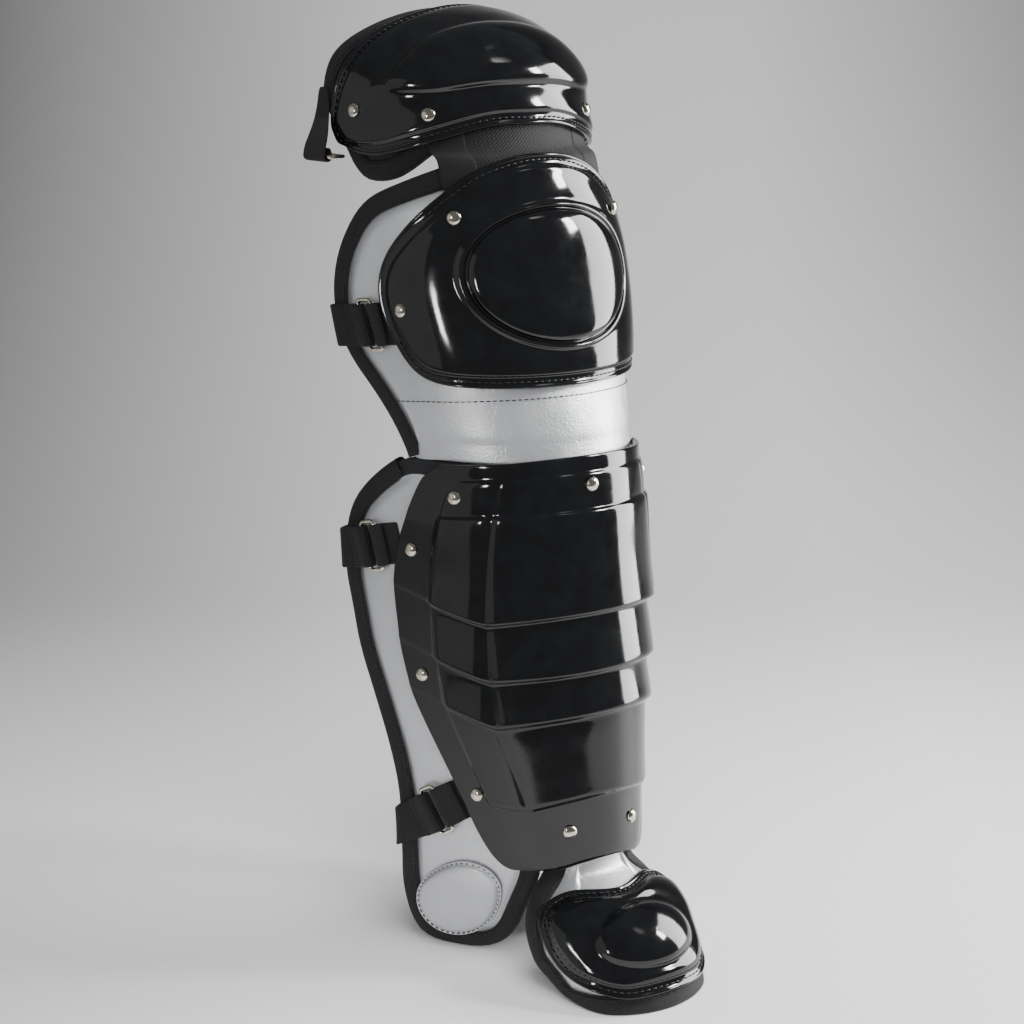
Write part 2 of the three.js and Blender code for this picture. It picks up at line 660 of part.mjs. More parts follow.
const thighShellEdge = loopOf(thighTable([
  { across: 0.00, along: 0.86 },
  { across: 0.31, along: 0.84 },
  { across: 0.65, along: 0.83 },
  { across: 0.93, along: 0.79 },
  { across: 1.12, along: 0.72 },
  { across: 1.30, along: 0.55 },
  { across: 1.34, along: 0.38 },
  { across: 1.33, along: 0.15 },
  { across: 1.22, along: 0.02 },
  { across: 1.03, along: -0.01 },
  { across: 0.71, along: 0.045 },
  { across: 0.26, along: 0.11 },
  { across: 0.00, along: 0.11 },
]), [SHELL_STEPS]);
const bulgeEdge = loopOf(thighTable([
  { across: 0.00, along: 0.61 },
  { across: 0.17, along: 0.61 },
  { across: 0.56, along: 0.575 },
  { across: 0.86, along: 0.43 },
  { across: 0.84, along: 0.38 },
  { across: 0.61, along: 0.30 },
  { across: 0.22, along: 0.28 },
  { across: 0.00, along: 0.275 },
]), [SHELL_STEPS]);
const bulgeCentre = pointLoop({ across: 0, along: 0.42 * THIGH_LENGTH }, 2 * SHELL_STEPS);
const thighRings = flangeRings(thigh, thighShellEdge);
// Rings of the bulge: shares of the way to its middle and of its rise
const bulgeRings = [
  { share: 0.00, rise: 0.11 },
  { share: 0.12, rise: 0.67 },
  { share: 0.50, rise: 0.94 },
  { share: 1.00, rise: 1.00 },
];
const thighShell = add('thigh_shell', ringShell(thigh, [
  ...thighRings,
  { loop: blend(thighRings[2].loop, bulgeEdge, 0.6), raise: CROWN + BULGE_RISE * bulgeRings[0].rise },
  ...bulgeRings.map(({ share, rise }) => ({
    loop: blend(bulgeEdge, bulgeCentre, share),
    raise: CROWN + BULGE_RISE * rise,
  })),
], SHELL_STANDOFF), 'plastic');

// Shin shell: rows from its top lip down over three overlapping plates to the ankle band. "side" is the half
// width; "mid", "crease" and "edge" are heights at the front line, the side crease and the shell's edge.
const shinShellRows = [
  { side: 0.97, mid: 0.711, crease: 0.706, edge: 0.699, raise: 0.0 },
  { side: 1.12, mid: 0.692, crease: 0.687, edge: 0.680, raise: 0.0 },
  { side: 1.17, mid: 0.684, crease: 0.679, edge: 0.668, raise: 1.5 },
  { side: 1.275, mid: 0.641, crease: 0.636, edge: 0.626, raise: 1.5 },
  { side: 1.295, mid: 0.633, crease: 0.628, edge: 0.616, raise: 4.0 },
  { side: 1.39, mid: 0.570, crease: 0.562, edge: 0.570, raise: 4.0 },
  { side: 1.42, mid: 0.506, crease: 0.492, edge: 0.532, raise: 6.5 },
  { side: 1.42, mid: 0.497, crease: 0.483, edge: 0.520, raise: 2.5 },
  { side: 1.405, mid: 0.428, crease: 0.416, edge: 0.456, raise: 6.0 },
  { side: 1.40, mid: 0.419, crease: 0.407, edge: 0.444, raise: 2.0 },
  { side: 1.34, mid: 0.372, crease: 0.354, edge: 0.390, raise: 5.0 },
  { side: 1.32, mid: 0.363, crease: 0.345, edge: 0.378, raise: 1.5 },
  { side: 1.15, mid: 0.310, crease: 0.296, edge: 0.310, raise: 1.5 },
  { side: 0.96, mid: 0.256, crease: 0.238, edge: 0.240, raise: 2.0 },
  { side: 0.94, mid: 0.249, crease: 0.231, edge: 0.232, raise: 0.8 },
  { side: 0.80, mid: 0.195, crease: 0.182, edge: 0.170, raise: 0.8 },
  { side: 0.65, mid: 0.164, crease: 0.153, edge: 0.142, raise: 0.0 },
];
// Columns of the shin shell: shares of its half width, and of the row's raise there
const shinShellColumns = [
  { share: 0.00, weight: 1.0 },
  { share: 0.16, weight: 1.0 },
  { share: 0.32, weight: 1.0 },
  { share: 0.47, weight: 1.0 },
  { share: 0.52, weight: 0.8 },
  { share: 0.76, weight: 0.9 },
  { share: 0.81, weight: 0.2 },
  { share: 1.00, weight: 0.0 },
];
const CREASE_SHARE = 0.5;

function shinShellGrid(lift) {
  const mirrored = shinShellColumns.slice(1).reverse().map((c) => ({ ...c, share: -c.share }));
  const columns = [...mirrored, ...shinShellColumns];
  return shinShellRows.map((row) => columns.map(({ share, weight }) => {
    const out = Math.abs(share);
    const inner = Math.min(out / CREASE_SHARE, 1);
    const outer = Math.max((out - CREASE_SHARE) / (1 - CREASE_SHARE), 0);
    const height = row.mid + (row.crease - row.mid) * inner * inner + (row.edge - row.crease) * outer;
    return leg(share * row.side * GIRTH, height * RISE, SHELL_STANDOFF + row.raise * weight + lift);
  }));
}
const shinShell = add('shin_shell', wallBetween(shinShellGrid(SHELL_WALL), shinShellGrid(0), false), 'plastic');

// Round pads on the ankle wings
const discCentre = { across: 0.94 * GIRTH, along: 0.082 * RISE };
const DISC_SIDES = 12;
function discLoop(way, share) {
  return Array.from({ length: DISC_SIDES }, (_, i) => {
    const turn = 2 * Math.PI * i / DISC_SIDES;
    return {
      across: way * (discCentre.across + DISC_RADIUS * share * Math.sin(turn)),
      along: discCentre.along + DISC_RADIUS * share * Math.cos(turn),
    };
  });
}
const discRings = [
  { share: 1.00, high: 0.25 },
  { share: 0.92, high: 0.75 },
  { share: 0.46, high: 1.00 },
  { share: 0.00, high: 1.00 },
];
for (const [side, way] of [['left', -1], ['right', 1]]) {
  const face = discRings.map(({ share, high }) => lay(leg, discLoop(way, share), WEB_GAP + DISC_THICK * high));
  const back = discRings.map(({ share }) => lay(leg, discLoop(way, share), WEB_GAP));
  add(`ankle_disc_${side}`, wallBetween(face, back, true), 'silver');
}

// Hinge cloth and webbing between the knee and the thigh cap
const hingePath = [
  { form: leg, along: 1.050 * RISE },
  { form: leg, along: 1.072 * RISE },
  { form: leg, along: 1.094 * RISE },
  { form: thigh, along: 0.00 * THIGH_LENGTH },
  { form: thigh, along: 0.08 * THIGH_LENGTH },
  { form: thigh, along: 0.16 * THIGH_LENGTH },
  { form: thigh, along: 0.20 * THIGH_LENGTH },
];
function hingeStrip(from, to, columns, thick) {
  const across = Array.from({ length: columns + 1 }, (_, j) => from + (to - from) * j / columns);
  const grid = (lift) => hingePath.map(({ form, along }) => across.map((s) => form(s, along, lift)));
  return wallBetween(grid(WEB_GAP + thick), grid(WEB_GAP), false);
}
const HINGE_WEB_FROM = 0.44 * GIRTH;
add('hinge_fabric', hingeStrip(HINGE_CLEAR - HINGE_WEB_FROM, HINGE_WEB_FROM - HINGE_CLEAR, 6, WEB_THICK), 'webbing');
add('hinge_web_right', hingeStrip(HINGE_WEB_FROM, HINGE_WEB_FROM + HINGE_WEB_WIDTH, 3, WEB_THICK), 'webbing');
add('hinge_web_left', hingeStrip(-HINGE_WEB_FROM - HINGE_WEB_WIDTH, -HINGE_WEB_FROM, 3, WEB_THICK), 'webbing');

// Straps, tabs and rings. A ring lies flat above the padding; the tab folds round its front bar and the strap
// round its rear bar.
const WIRE = RING_WIRE / 2;
const BAR_REACH = RING_LENGTH / 2 - WIRE;
const RING_LIFT = WEB_GAP + STRAP_THICK + FOLD_CLEAR + WIRE;
const FOLD_STEPS = 3;         // faces of a fold round a ring's bar
const WRAP_STEPS = 4;         // faces of a strap's bend round the padding's edge
const BACK_STEPS = 4;         // faces of a strap's half way across the back
const BACK_LEAD = 0.4;        // how far a strap keeps its heading as it leaves the wing, as a share of its reach
const MIDDLE_LEAD = 0.45;     // and on either side of its middle

// Where a strap runs over the leg: "run" is the distance from its ring towards the rear. Its width stands square
// to its run at 0 of "upright" and along the leg at 1.
function strapPoint(strap, run, wide, lift, upright = 0) {
  const slant = rad(strap.slant);
  return leg(
    strap.across + run * Math.cos(slant) + wide * Math.sin(slant) * (1 - upright),
    strap.along - run * Math.sin(slant) + wide * THREE.MathUtils.lerp(Math.cos(slant), 1, upright),
    lift,
  );
}

// Ribbon through [run, lift] points; its thickness is laid along the path's own normal
function ribbonSections(place, path, width, thick) {
  return path.map(([run, lift, upright], i) => {
    const [r0, l0] = path[Math.max(i - 1, 0)];
    const [r1, l1] = path[Math.min(i + 1, path.length - 1)];
    const size = Math.hypot(r1 - r0, l1 - l0);
    const [nr, nl] = [-(l1 - l0) / size * thick / 2, (r1 - r0) / size * thick / 2];
    return [
      place(run + nr, width / 2, lift + nl, upright), place(run + nr, -width / 2, lift + nl, upright),
      place(run - nr, -width / 2, lift - nl, upright), place(run - nr, width / 2, lift - nl, upright),
    ];
  });
}

function foldPath(bar, towards, thick) {
  // half turn round a bar, from above it to below it, on the side away from "towards"
  const radius = WIRE + FOLD_CLEAR + thick / 2;
  return Array.from({ length: FOLD_STEPS + 1 }, (_, i) => {
    const turn = Math.PI * i / FOLD_STEPS;
    return [bar - towards * radius * Math.sin(turn), RING_LIFT + radius * Math.cos(turn)];
  });
}

// From its free end over the ring, under the wing's padding and on to the middle of the back
function strapSections(strap) {
  const place = (run, wide, lift, upright) => strapPoint(strap, run, wide, lift, upright);
  const bar = BAR_REACH;
  const flat = WEB_GAP + STRAP_THICK / 2;
  const path = [
    [bar + STRAP_TAIL, flat + STRAP_THICK + FOLD_CLEAR],
    [bar + WIRE * 3, RING_LIFT + WIRE],
    ...foldPath(bar, 1, STRAP_THICK),
  ];
  const hub = (strap.edge - strap.across) / Math.cos(rad(strap.slant)) - PAD_THICK / 4;
  const round = PAD_THICK / 2 + flat;
  const before = leg(strap.edge - 1, strap.along);
  const after = leg(strap.edge + 1, strap.along);
  const heading = Math.atan2(after.y - before.y, after.x - before.x);
  const turn = Math.PI - rad(STRAP_BOW) - heading;
  for (let i = 0; i <= WRAP_STEPS; i += 1) {
    const here = turn * i / WRAP_STEPS;
    path.push([hub + round * Math.sin(here), round * Math.cos(here) - PAD_THICK / 2, 1]);
  }
  const sections = ribbonSections(place, path, STRAP_WIDTH, STRAP_THICK);
  const last = sections[sections.length - 1];
  const centre = last.reduce((sum, p) => sum.add(p), new THREE.Vector3()).divideScalar(4);
  const high = last[0].clone().sub(last[1]).normalize();
  const way = high.clone().cross(last[0].clone().sub(last[3])).normalize();
  if (way.x > 0) way.negate();
  const reach = centre.x;
  const middle = new THREE.Vector3(0, centre.y + reach * Math.tan(rad(STRAP_BOW / 2)), centre.z);
  const curve = new THREE.CubicBezierCurve3(
    centre,
    centre.clone().addScaledVector(way, reach * BACK_LEAD),
    middle.clone().add(new THREE.Vector3(reach * MIDDLE_LEAD, 0, 0)),
    middle,
  );
  for (let i = 1; i <= BACK_STEPS; i += 1) {
    const p = curve.getPoint(i / BACK_STEPS);
    const run = i === BACK_STEPS ? new THREE.Vector3(-1, 0, 0) : curve.getTangent(i / BACK_STEPS);
    const up = high.clone().lerp(new THREE.Vector3(0, 0, 1), i / BACK_STEPS);
    const out = run.clone().cross(up).normalize();
    const w = out.clone().cross(run).normalize().multiplyScalar(STRAP_WIDTH / 2);
    const t = out.multiplyScalar(STRAP_THICK / 2);
    const corner = (a, b) => p.clone().addScaledVector(w, a).addScaledVector(t, b);
    sections.push([corner(1, 1), corner(-1, 1), corner(-1, -1), corner(1, -1)]);
  }
  return sections;
}

const mirror = (p) => new THREE.Vector3(-p.x, p.y, p.z);

const RING_SIDES = 5;
function ringSolid(place) {
  const half = STRAP_WIDTH / 2 + RING_CLEAR + WIRE;
  const stations = [];
  for (let corner = 0; corner < 4; corner += 1) {
    const [a, b] = [[1, 1], [-1, 1], [-1, -1], [1, -1]][corner];
    for (let i = 0; i < 2; i += 1) {
      const turn = Math.PI / 2 * (corner + i);
      const [c, s] = [Math.cos(turn), Math.sin(turn)];
      stations.push([
        a * (BAR_REACH - RING_BEND) + RING_BEND * c,
        b * (half - RING_BEND) + RING_BEND * s,
        c,
        s,
      ]);
    }
  }
  return sweep(stations.map(([run, wide, c, s]) => Array.from({ length: RING_SIDES }, (_, k) => {
    const turn = 2 * Math.PI * k / RING_SIDES;
    const out = WIRE * Math.cos(turn);
    return place(run + out * c, wide + out * s, RING_LIFT + WIRE * Math.sin(turn));
  })), true);
}

function tabSections(strap) {
  const place = (run, wide, lift) => strapPoint(strap, run, wide, lift);
  const low = WEB_GAP + WEB_THICK / 2;
  const bar = -BAR_REACH;
  const fold = foldPath(bar, -1, WEB_THICK).reverse();
  const shell = -(strap.across - strap.shell) / Math.cos(rad(strap.slant));
  const path = [
    [shell - TAB_TUCK, low],
    [bar - 2 * WIRE, low + FOLD_CLEAR],
    ...fold,
    [bar - WIRE * 1.5, RING_LIFT + WIRE * 1.4],
    [shell + TAB_END, low + WEB_THICK + 2 * FOLD_CLEAR],
  ];
  return ribbonSections(place, path, STRAP_WIDTH, WEB_THICK);
}

// Each strap: its ring on the leg, the padding's edge behind it, the shell's edge before it, and its slant
const straps = [
  { name: 'knee', across: 1.34 * GIRTH, along: 0.874 * RISE, edge: 1.70 * GIRTH, shell: 1.215 * GIRTH, slant: 6 },
  { name: 'upper', across: 1.585 * GIRTH, along: 0.575 * RISE, edge: 1.90 * GIRTH, shell: 1.45 * GIRTH, slant: 12 },
  { name: 'lower', across: 1.17 * GIRTH, along: 0.216 * RISE, edge: 1.53 * GIRTH, shell: 0.98 * GIRTH, slant: 29 },
];
for (const strap of straps) {
  const half = strapSections(strap);
  const whole = [...half, ...half.slice(0, -1).reverse().map((section) => section.map(mirror))];
  add(`strap_${strap.name}`, sweep(whole, false), 'webbing');
  for (const [side, way] of [['left', -1], ['right', 1]]) {
    const turned = (p) => (way < 0 ? mirror(p) : p);
    const place = (run, wide, lift) => turned(strapPoint(strap, run, wide, lift));
    add(`ring_${strap.name}_${side}`, ringSolid(place), 'metal');
    add(`tab_${strap.name}_${side}`, sweep(tabSections(strap).map((s) => s.map(turned)), false), 'webbing');
  }
}

// Thigh rings stand level beside the cap's rear corners, in tabs that widen from the padding down to them
const THIGH_BAR = {
  x: 1.065 * THIGH_GIRTH,
  y: THIGH_FRONT + 0.92 * THIGH_DEPTH,
  z: THIGH_FOOT - 0.045 * THIGH_RISE,
};
function thighTabSections() {
  const low = WEB_GAP + WEB_THICK / 2;
  const seat = (rear, front) => {
    const ends = [rear, front].map(({ across, along }) => [
      thigh(across * THIGH_GIRTH, along * THIGH_LENGTH, low + WEB_THICK / 2),
      thigh(across * THIGH_GIRTH, along * THIGH_LENGTH, low - WEB_THICK / 2),
    ]);
    return [ends[0][0], ends[1][0], ends[1][1], ends[0][1]];
  };
  const sections = [
    seat({ across: 1.19, along: 0.94 }, { across: 1.15, along: 0.85 }),
    seat({ across: 1.31, along: 0.94 }, { across: 1.22, along: 0.76 }),
  ];
  const radius = WIRE + FOLD_CLEAR + WEB_THICK / 2;
  const path = [
    { x: -0.7 * radius, z: 5.2 * radius, share: 0.85 },
    { x: 0.6 * radius, z: 2.4 * radius, share: 1 },
    ...Array.from({ length: FOLD_STEPS + 1 }, (_, i) => {
      const turn = Math.PI * i / FOLD_STEPS;
      return { x: radius * Math.cos(turn), z: -radius * Math.sin(turn), share: 1 };
    }),
    { x: -0.9 * radius, z: 2 * radius, share: 1 },
  ];
  path.forEach(({ x, z, share }, i) => {
    const before = path[Math.max(i - 1, 0)];
    const after = path[Math.min(i + 1, path.length - 1)];
    const size = Math.hypot(after.x - before.x, after.z - before.z);
    const nx = -(after.z - before.z) / size * WEB_THICK / 2;
    const nz = (after.x - before.x) / size * WEB_THICK / 2;
    const point = (wide, side) => new THREE.Vector3(
      THIGH_BAR.x + x + nx * side,
      THIGH_BAR.y + wide * share * STRAP_WIDTH / 2,
      THIGH_BAR.z + z + nz * side,
    );
    sections.push([point(1, 1), point(-1, 1), point(-1, -1), point(1, -1)]);
  });
  return sections;
}
for (const [side, way] of [['left', -1], ['right', 1]]) {
  const turned = (p) => (way < 0 ? mirror(p) : p);
  const place = (run, wide, lift) => turned(new THREE.Vector3(
    THIGH_BAR.x - BAR_REACH + run,
    THIGH_BAR.y + wide,
    THIGH_BAR.z + lift - RING_LIFT,
  ));
  add(`ring_thigh_${side}`, ringSolid(place), 'metal');
  add(`tab_thigh_${side}`, sweep(thighTabSections().map((s) => s.map(turned)), false), 'webbing');
}

// Rivets: domed heads seated on the shells
const rivets = [
  { name: 'knee_upper', shell: kneeShell, form: leg, across: 0.63 * GIRTH, along: 1.018 * RISE },
  { name: 'knee_lower', shell: kneeShell, form: leg, across: 1.04 * GIRTH, along: 0.898 * RISE },
  { name: 'shin_top', shell: shinShell, form: leg, across: 0, along: 0.674 * RISE },
  { name: 'shin_upper', shell: shinShell, form: leg, across: 0.88 * GIRTH, along: 0.658 * RISE },
  { name: 'shin_side', shell: shinShell, form: leg, across: 1.24 * GIRTH, along: 0.580 * RISE },
  { name: 'shin_lower', shell: shinShell, form: leg, across: 1.22 * GIRTH, along: 0.408 * RISE },
  { name: 'shin_ankle', shell: shinShell, form: leg, across: 0.84 * GIRTH, along: 0.250 * RISE },
  { name: 'shin_band', shell: shinShell, form: leg, across: 0.24 * GIRTH, along: 0.208 * RISE },
  { name: 'thigh_side', shell: thighShell, form: thigh, across: 1.08 * THIGH_GIRTH, along: 0.41 * THIGH_LENGTH },
  { name: 'thigh_front', shell: thighShell, form: thigh, across: 0.64 * THIGH_GIRTH, along: 0.20 * THIGH_LENGTH },
];
const rivetProfile = [
  { out: 0, up: 1 }, { out: 0.65, up: 0.78 }, { out: 1, up: 0.1 }, { out: 0, up: 0 },
];
const RIVET_SIDES = 6;

function rivetRing(radius, height, turn, centre) {
  return Array.from({ length: RIVET_SIDES }, (_, i) => {
    const angle = 2 * Math.PI * i / RIVET_SIDES;
    return new THREE.Vector3(radius * Math.cos(angle), radius * Math.sin(angle), height)
      .applyQuaternion(turn).add(centre);
  });
}

function addRivet(name, shell, form, across, along) {
  // looks down on the shell from above, at its middle and round its rim, and rests on the highest of these
  const foot = form(across, along);
  const axis = form(across, along, 1).sub(foot).normalize();
  const above = 50;
  const turn = new THREE.Quaternion().setFromUnitVectors(new THREE.Vector3(0, 0, 1), axis);
  const starts = [foot.clone().addScaledVector(axis, above), ...rivetRing(RIVET_RADIUS, above, turn, foot)];
  const hits = starts.map((from) => new THREE.Raycaster(from, axis.clone().negate()).intersectObject(shell)[0]);
  const high = Math.max(...hits.map((hit) => above - hit.distance));
  const centre = foot.clone().addScaledVector(axis, high + RIVET_SEAT);
  const rings = rivetProfile.map(({ out, up }) => rivetRing(out * RIVET_RADIUS, up * RIVET_HEIGHT, turn, centre));
  const skin = new Skin();
  for (let i = 0; i < rings.length - 1; i += 1) {
    for (let j = 0; j < RIVET_SIDES; j += 1) {
      const k = (j + 1) % RIVET_SIDES;
      skin.quad(rings[i][j], rings[i + 1][j], rings[i + 1][k], rings[i][k]);
    }
  }
  add(name, skin.geometry(), 'metal');
}
for (const { name, shell, form, across, along } of rivets) {
  if (across === 0) addRivet(`rivet_${name}`, shell, form, across, along);
  else {
    addRivet(`rivet_${name}_left`, shell, form, -across, along);
    addRivet(`rivet_${name}_right`, shell, form, across, along);
  }
}

// The frame's origin lies on the floor under the middle of the whole
const whole = new THREE.Box3().setFromObject(guard);
const middle = whole.getCenter(new THREE.Vector3());
guard.position.set(-middle.x, -middle.y, -whole.min.z);

export default guard;
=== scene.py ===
"""Leg guard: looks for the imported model, laid out as an add-on and run as a script.

Lengths are in mm, unless a name or a comment says otherwise."""

import math

import bpy
import numpy as np
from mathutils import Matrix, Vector


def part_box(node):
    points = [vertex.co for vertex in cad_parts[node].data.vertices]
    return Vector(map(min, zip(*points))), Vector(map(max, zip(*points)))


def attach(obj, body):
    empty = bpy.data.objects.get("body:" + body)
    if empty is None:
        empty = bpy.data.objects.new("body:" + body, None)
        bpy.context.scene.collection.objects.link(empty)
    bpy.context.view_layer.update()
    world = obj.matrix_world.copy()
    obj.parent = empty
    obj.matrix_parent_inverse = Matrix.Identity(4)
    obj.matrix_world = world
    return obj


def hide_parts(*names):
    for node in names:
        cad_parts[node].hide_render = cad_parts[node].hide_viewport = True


bl_info = {
    "name": "Leg guard",
    "version": (1, 0, 0),
    "blender": (4, 5, 0),
    "location": "View3D > Sidebar > Leg guard",
    "description": "Builds a padded leg guard with glossy shells, bindings and straps over its packed model",
    "category": "Object",
}

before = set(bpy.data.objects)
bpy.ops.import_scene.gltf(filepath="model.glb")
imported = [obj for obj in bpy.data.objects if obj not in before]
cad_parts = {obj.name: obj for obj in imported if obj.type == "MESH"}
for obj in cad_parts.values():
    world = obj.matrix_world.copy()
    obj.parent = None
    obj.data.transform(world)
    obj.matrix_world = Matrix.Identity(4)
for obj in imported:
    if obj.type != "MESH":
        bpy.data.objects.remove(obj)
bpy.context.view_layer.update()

# Sizes shared with the solids
RISE = 500.0
REACH = 100.0
GIRTH = 100.0
TOE_LENGTH = 148.0
TOE_REACH = 169.0
TOE_ROOT = 0.872 * REACH
TOE_GIRTH = 100.0
THIGH_LENGTH = 155.0
THIGH_DEPTH = 101.0
THIGH_RISE = 94.0
THIGH_GIRTH = 100.0
THIGH_FRONT = -0.03 * REACH
THIGH_FOOT = 1.098 * RISE
PAD_THICK = 11.0
TOE_PAD_THICK = 7.0
SHELL_WALL = 2.6
SHELL_STANDOFF = 3.25
TOE_STANDOFF = 1.5
TAPE_THICK = 1.4
TAPE_WIDTH = 12.0
TAPE_GAP = 0.9
WEB_THICK = 1.4
WEB_GAP = 0.7
WEB_WIDTH = 25.0
TAPE_SINK = 0.2
PINCH = TAPE_THICK + TAPE_GAP + TAPE_SINK
EDGE = TAPE_GAP + TAPE_THICK
RING_WIRE = 3.0
RING_LENGTH = 14.0
FOLD_CLEAR = 0.75
FLANGE = 9.0
BOSS_LENGTH = 62.0
BOSS_HEIGHT = 44.0
CROWN = 2.0
# An edge without a tape is pinched by this share of a taped one
FREE_PINCH = 0.15
# Longest move in mm, and least stretch along the form, when a loop grows
MOVE = 3.0
LEAST_STRETCH = 0.5
MM = 0.001
# The toe binding's front lies this far behind the toe form's reach
TOE_TAPE_BACK = 0.3
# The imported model's origin is under the middle of the whole; the toe binding's front shows how far it moved
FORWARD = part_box("toe_binding")[0].y / MM + TOE_REACH - TOE_TAPE_BACK


class Form:
    """A curved surface: across runs round it, along runs down its front line, lift is the height above it."""

    def __init__(self, rows):
        self.rows = {key: np.array([row[key] for row in rows], float) for key in rows[0]}

    def at(self, key, along):
        xs, ys = self.rows["along"], self.rows[key]
        i = np.clip(np.searchsorted(xs, along, side="right") - 1, 0, len(xs) - 2)
        span = xs[i + 1] - xs[i]
        slope = np.diff(ys) / np.diff(xs)
        tangent = np.concatenate([[slope[0]], (slope[:-1] + slope[1:]) / 2, [slope[-1]]])
        t = np.clip((along - xs[i]) / span, 0, 1)
        high = np.maximum(along - xs[-1], 0)
        low = np.minimum(along - xs[0], 0)
        return (
            ((2 * t - 3) * t * t + 1) * ys[i]
            + ((t - 2) * t + 1) * t * span * tangent[i]
            + (3 - 2 * t) * t * t * ys[i + 1]
            + (t - 1) * t * t * span * tangent[i + 1]
            + high * tangent[-1]
            + low * tangent[0]
        )

    def __call__(self, across, along, lift=0.0):
        """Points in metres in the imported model's frame."""
        across, along, lift = np.broadcast_arrays(*(np.asarray(v, float) for v in (across, along, lift)))
        nose, side = self.at("nose", along), self.at("side", along)
        turn1 = np.radians(self.at("noseTurn", along))
        turn2 = np.radians(self.at("sideTurn", along))
        reach = np.abs(across)
        end1 = nose * turn1
        end2 = end1 + side * (turn2 - turn1)
        h1 = np.minimum(reach / nose, turn1)
        h2 = turn1 + np.clip((reach - end1) / side, 0, turn2 - turn1)
        run = np.maximum(reach - end2, 0)
        heading = np.where(reach > end1, h2, h1)
        x = nose * np.sin(h1) + side * (np.sin(h2) - np.sin(turn1)) + run * np.cos(turn2)
        deep = nose * (1 - np.cos(h1)) + side * (np.cos(turn1) - np.cos(h2)) + run * np.sin(turn2)
        x = x + lift * np.sin(heading)
        deep = deep - lift * np.cos(heading)
        tilt = np.radians(self.at("tilt", along))
        y = self.at("front", along) + deep * np.cos(tilt) + FORWARD
        z = self.at("up", along) + deep * np.sin(tilt)
        return np.stack([np.sign(across) * x, y, z], -1) * MM


def rows_of(columns, table, scale):
    return [{key: value * scale.get(key, 1) for key, value in zip(columns, row)} for row in table]


LEG_COLUMNS = ("along", "up", "front", "tilt", "nose", "noseTurn", "side", "sideTurn")
leg = Form(rows_of(LEG_COLUMNS, [
    (0.00, 0.00, -0.62, 0, 0.44, 42, 0.80, 58),
    (0.08, 0.08, -0.74, 0, 0.48, 45, 0.86, 59),
    (0.144, 0.144, -0.89, 0, 0.54, 48, 0.96, 61),
    (0.212, 0.212, -0.875, 0, 0.58, 48, 1.00, 62),
    (0.40, 0.40, -0.81, 0, 0.71, 48, 1.10, 67),
    (0.60, 0.60, -0.72, 0, 0.81, 48, 1.10, 70),
    (0.69, 0.69, -0.67, 0, 0.80, 46, 1.00, 70),
    (0.80, 0.80, -0.51, 0, 0.92, 44, 0.70, 70),
    (0.92, 0.92, -0.33, 0, 1.08, 42, 0.55, 70),
    (1.00, 1.00, -0.24, 0, 1.04, 42, 0.55, 72),
    (1.10, 1.10, -0.13, 0, 0.96, 42, 0.60, 74),
], {"along": RISE, "up": RISE, "front": REACH, "nose": GIRTH, "side": GIRTH}))
toe_rows = rows_of(LEG_COLUMNS, [
    (0.00, 0.224, 0.000, 0, 0.57, 48, 0.60, 62),
    (0.19, 0.168, 0.019, 0, 0.55, 48, 0.60, 64),
    (0.255, 0.149, 0.029, -8, 0.55, 46, 0.50, 66),
    (0.35, 0.132, 0.157, -35, 0.80, 32, 0.34, 74),
    (0.445, 0.119, 0.316, -48, 1.05, 24, 0.22, 80),
    (0.64, 0.084, 0.597, -38, 0.78, 34, 0.20, 82),
    (0.88, 0.034, 0.890, -18, 0.68, 35, 0.26, 84),
    (1.00, 0.000, 1.000, 0, 0.65, 35, 0.28, 85),
], {"along": TOE_LENGTH, "up": RISE, "front": TOE_ROOT - TOE_REACH, "nose": TOE_GIRTH, "side": TOE_GIRTH})
for row in toe_rows:
    row["front"] -= TOE_ROOT
toe = Form(toe_rows)
thigh_rows = rows_of(LEG_COLUMNS, [
    (-0.13, -0.21, 0.00, -1, 0.92, 45, 0.76, 80),
    (0.00, 0.00, 0.00, -2, 0.92, 45, 0.76, 80),
    (0.22, 0.34, 0.09, -20, 0.94, 44, 0.76, 82),
    (0.465, 0.66, 0.30, -40, 1.06, 40, 0.66, 85),
    (0.70, 0.87, 0.585, -60, 1.24, 36, 0.53, 88),
    (1.00, 1.00, 1.00, -86, 1.58, 29, 0.42, 88),
], {"along": THIGH_LENGTH, "up": THIGH_RISE, "front": THIGH_DEPTH, "nose": THIGH_GIRTH, "side": THIGH_GIRTH})
for row in thigh_rows:
    row["up"] += THIGH_FOOT
    row["front"] += THIGH_FRONT
thigh = Form(thigh_rows)


# Outlines
def curve_point(points, t):
    """Centripetal Catmull-Rom through a closed list of points."""
    count = len(points)
    place = t * count
    i = int(math.floor(place))
    weight = place - i
    p0, p1, p2, p3 = (points[(i + k) % count] for k in (-1, 0, 1, 2))
    d0, d1, d2 = (max(float(np.linalg.norm(a - b)) ** 0.5, 1e-4) for a, b in ((p0, p1), (p1, p2), (p2, p3)))
    t1 = ((p1 - p0) / d0 - (p2 - p0) / (d0 + d1) + (p2 - p1) / d1) * d1
    t2 = ((p2 - p1) / d1 - (p3 - p1) / (d1 + d2) + (p3 - p2) / d2) * d1
    return (
        p1
        + t1 * weight
        + (-3 * p1 + 3 * p2 - 2 * t1 - t2) * weight**2
        + (2 * p1 - 2 * p2 + t1 + t2) * weight**3
    )


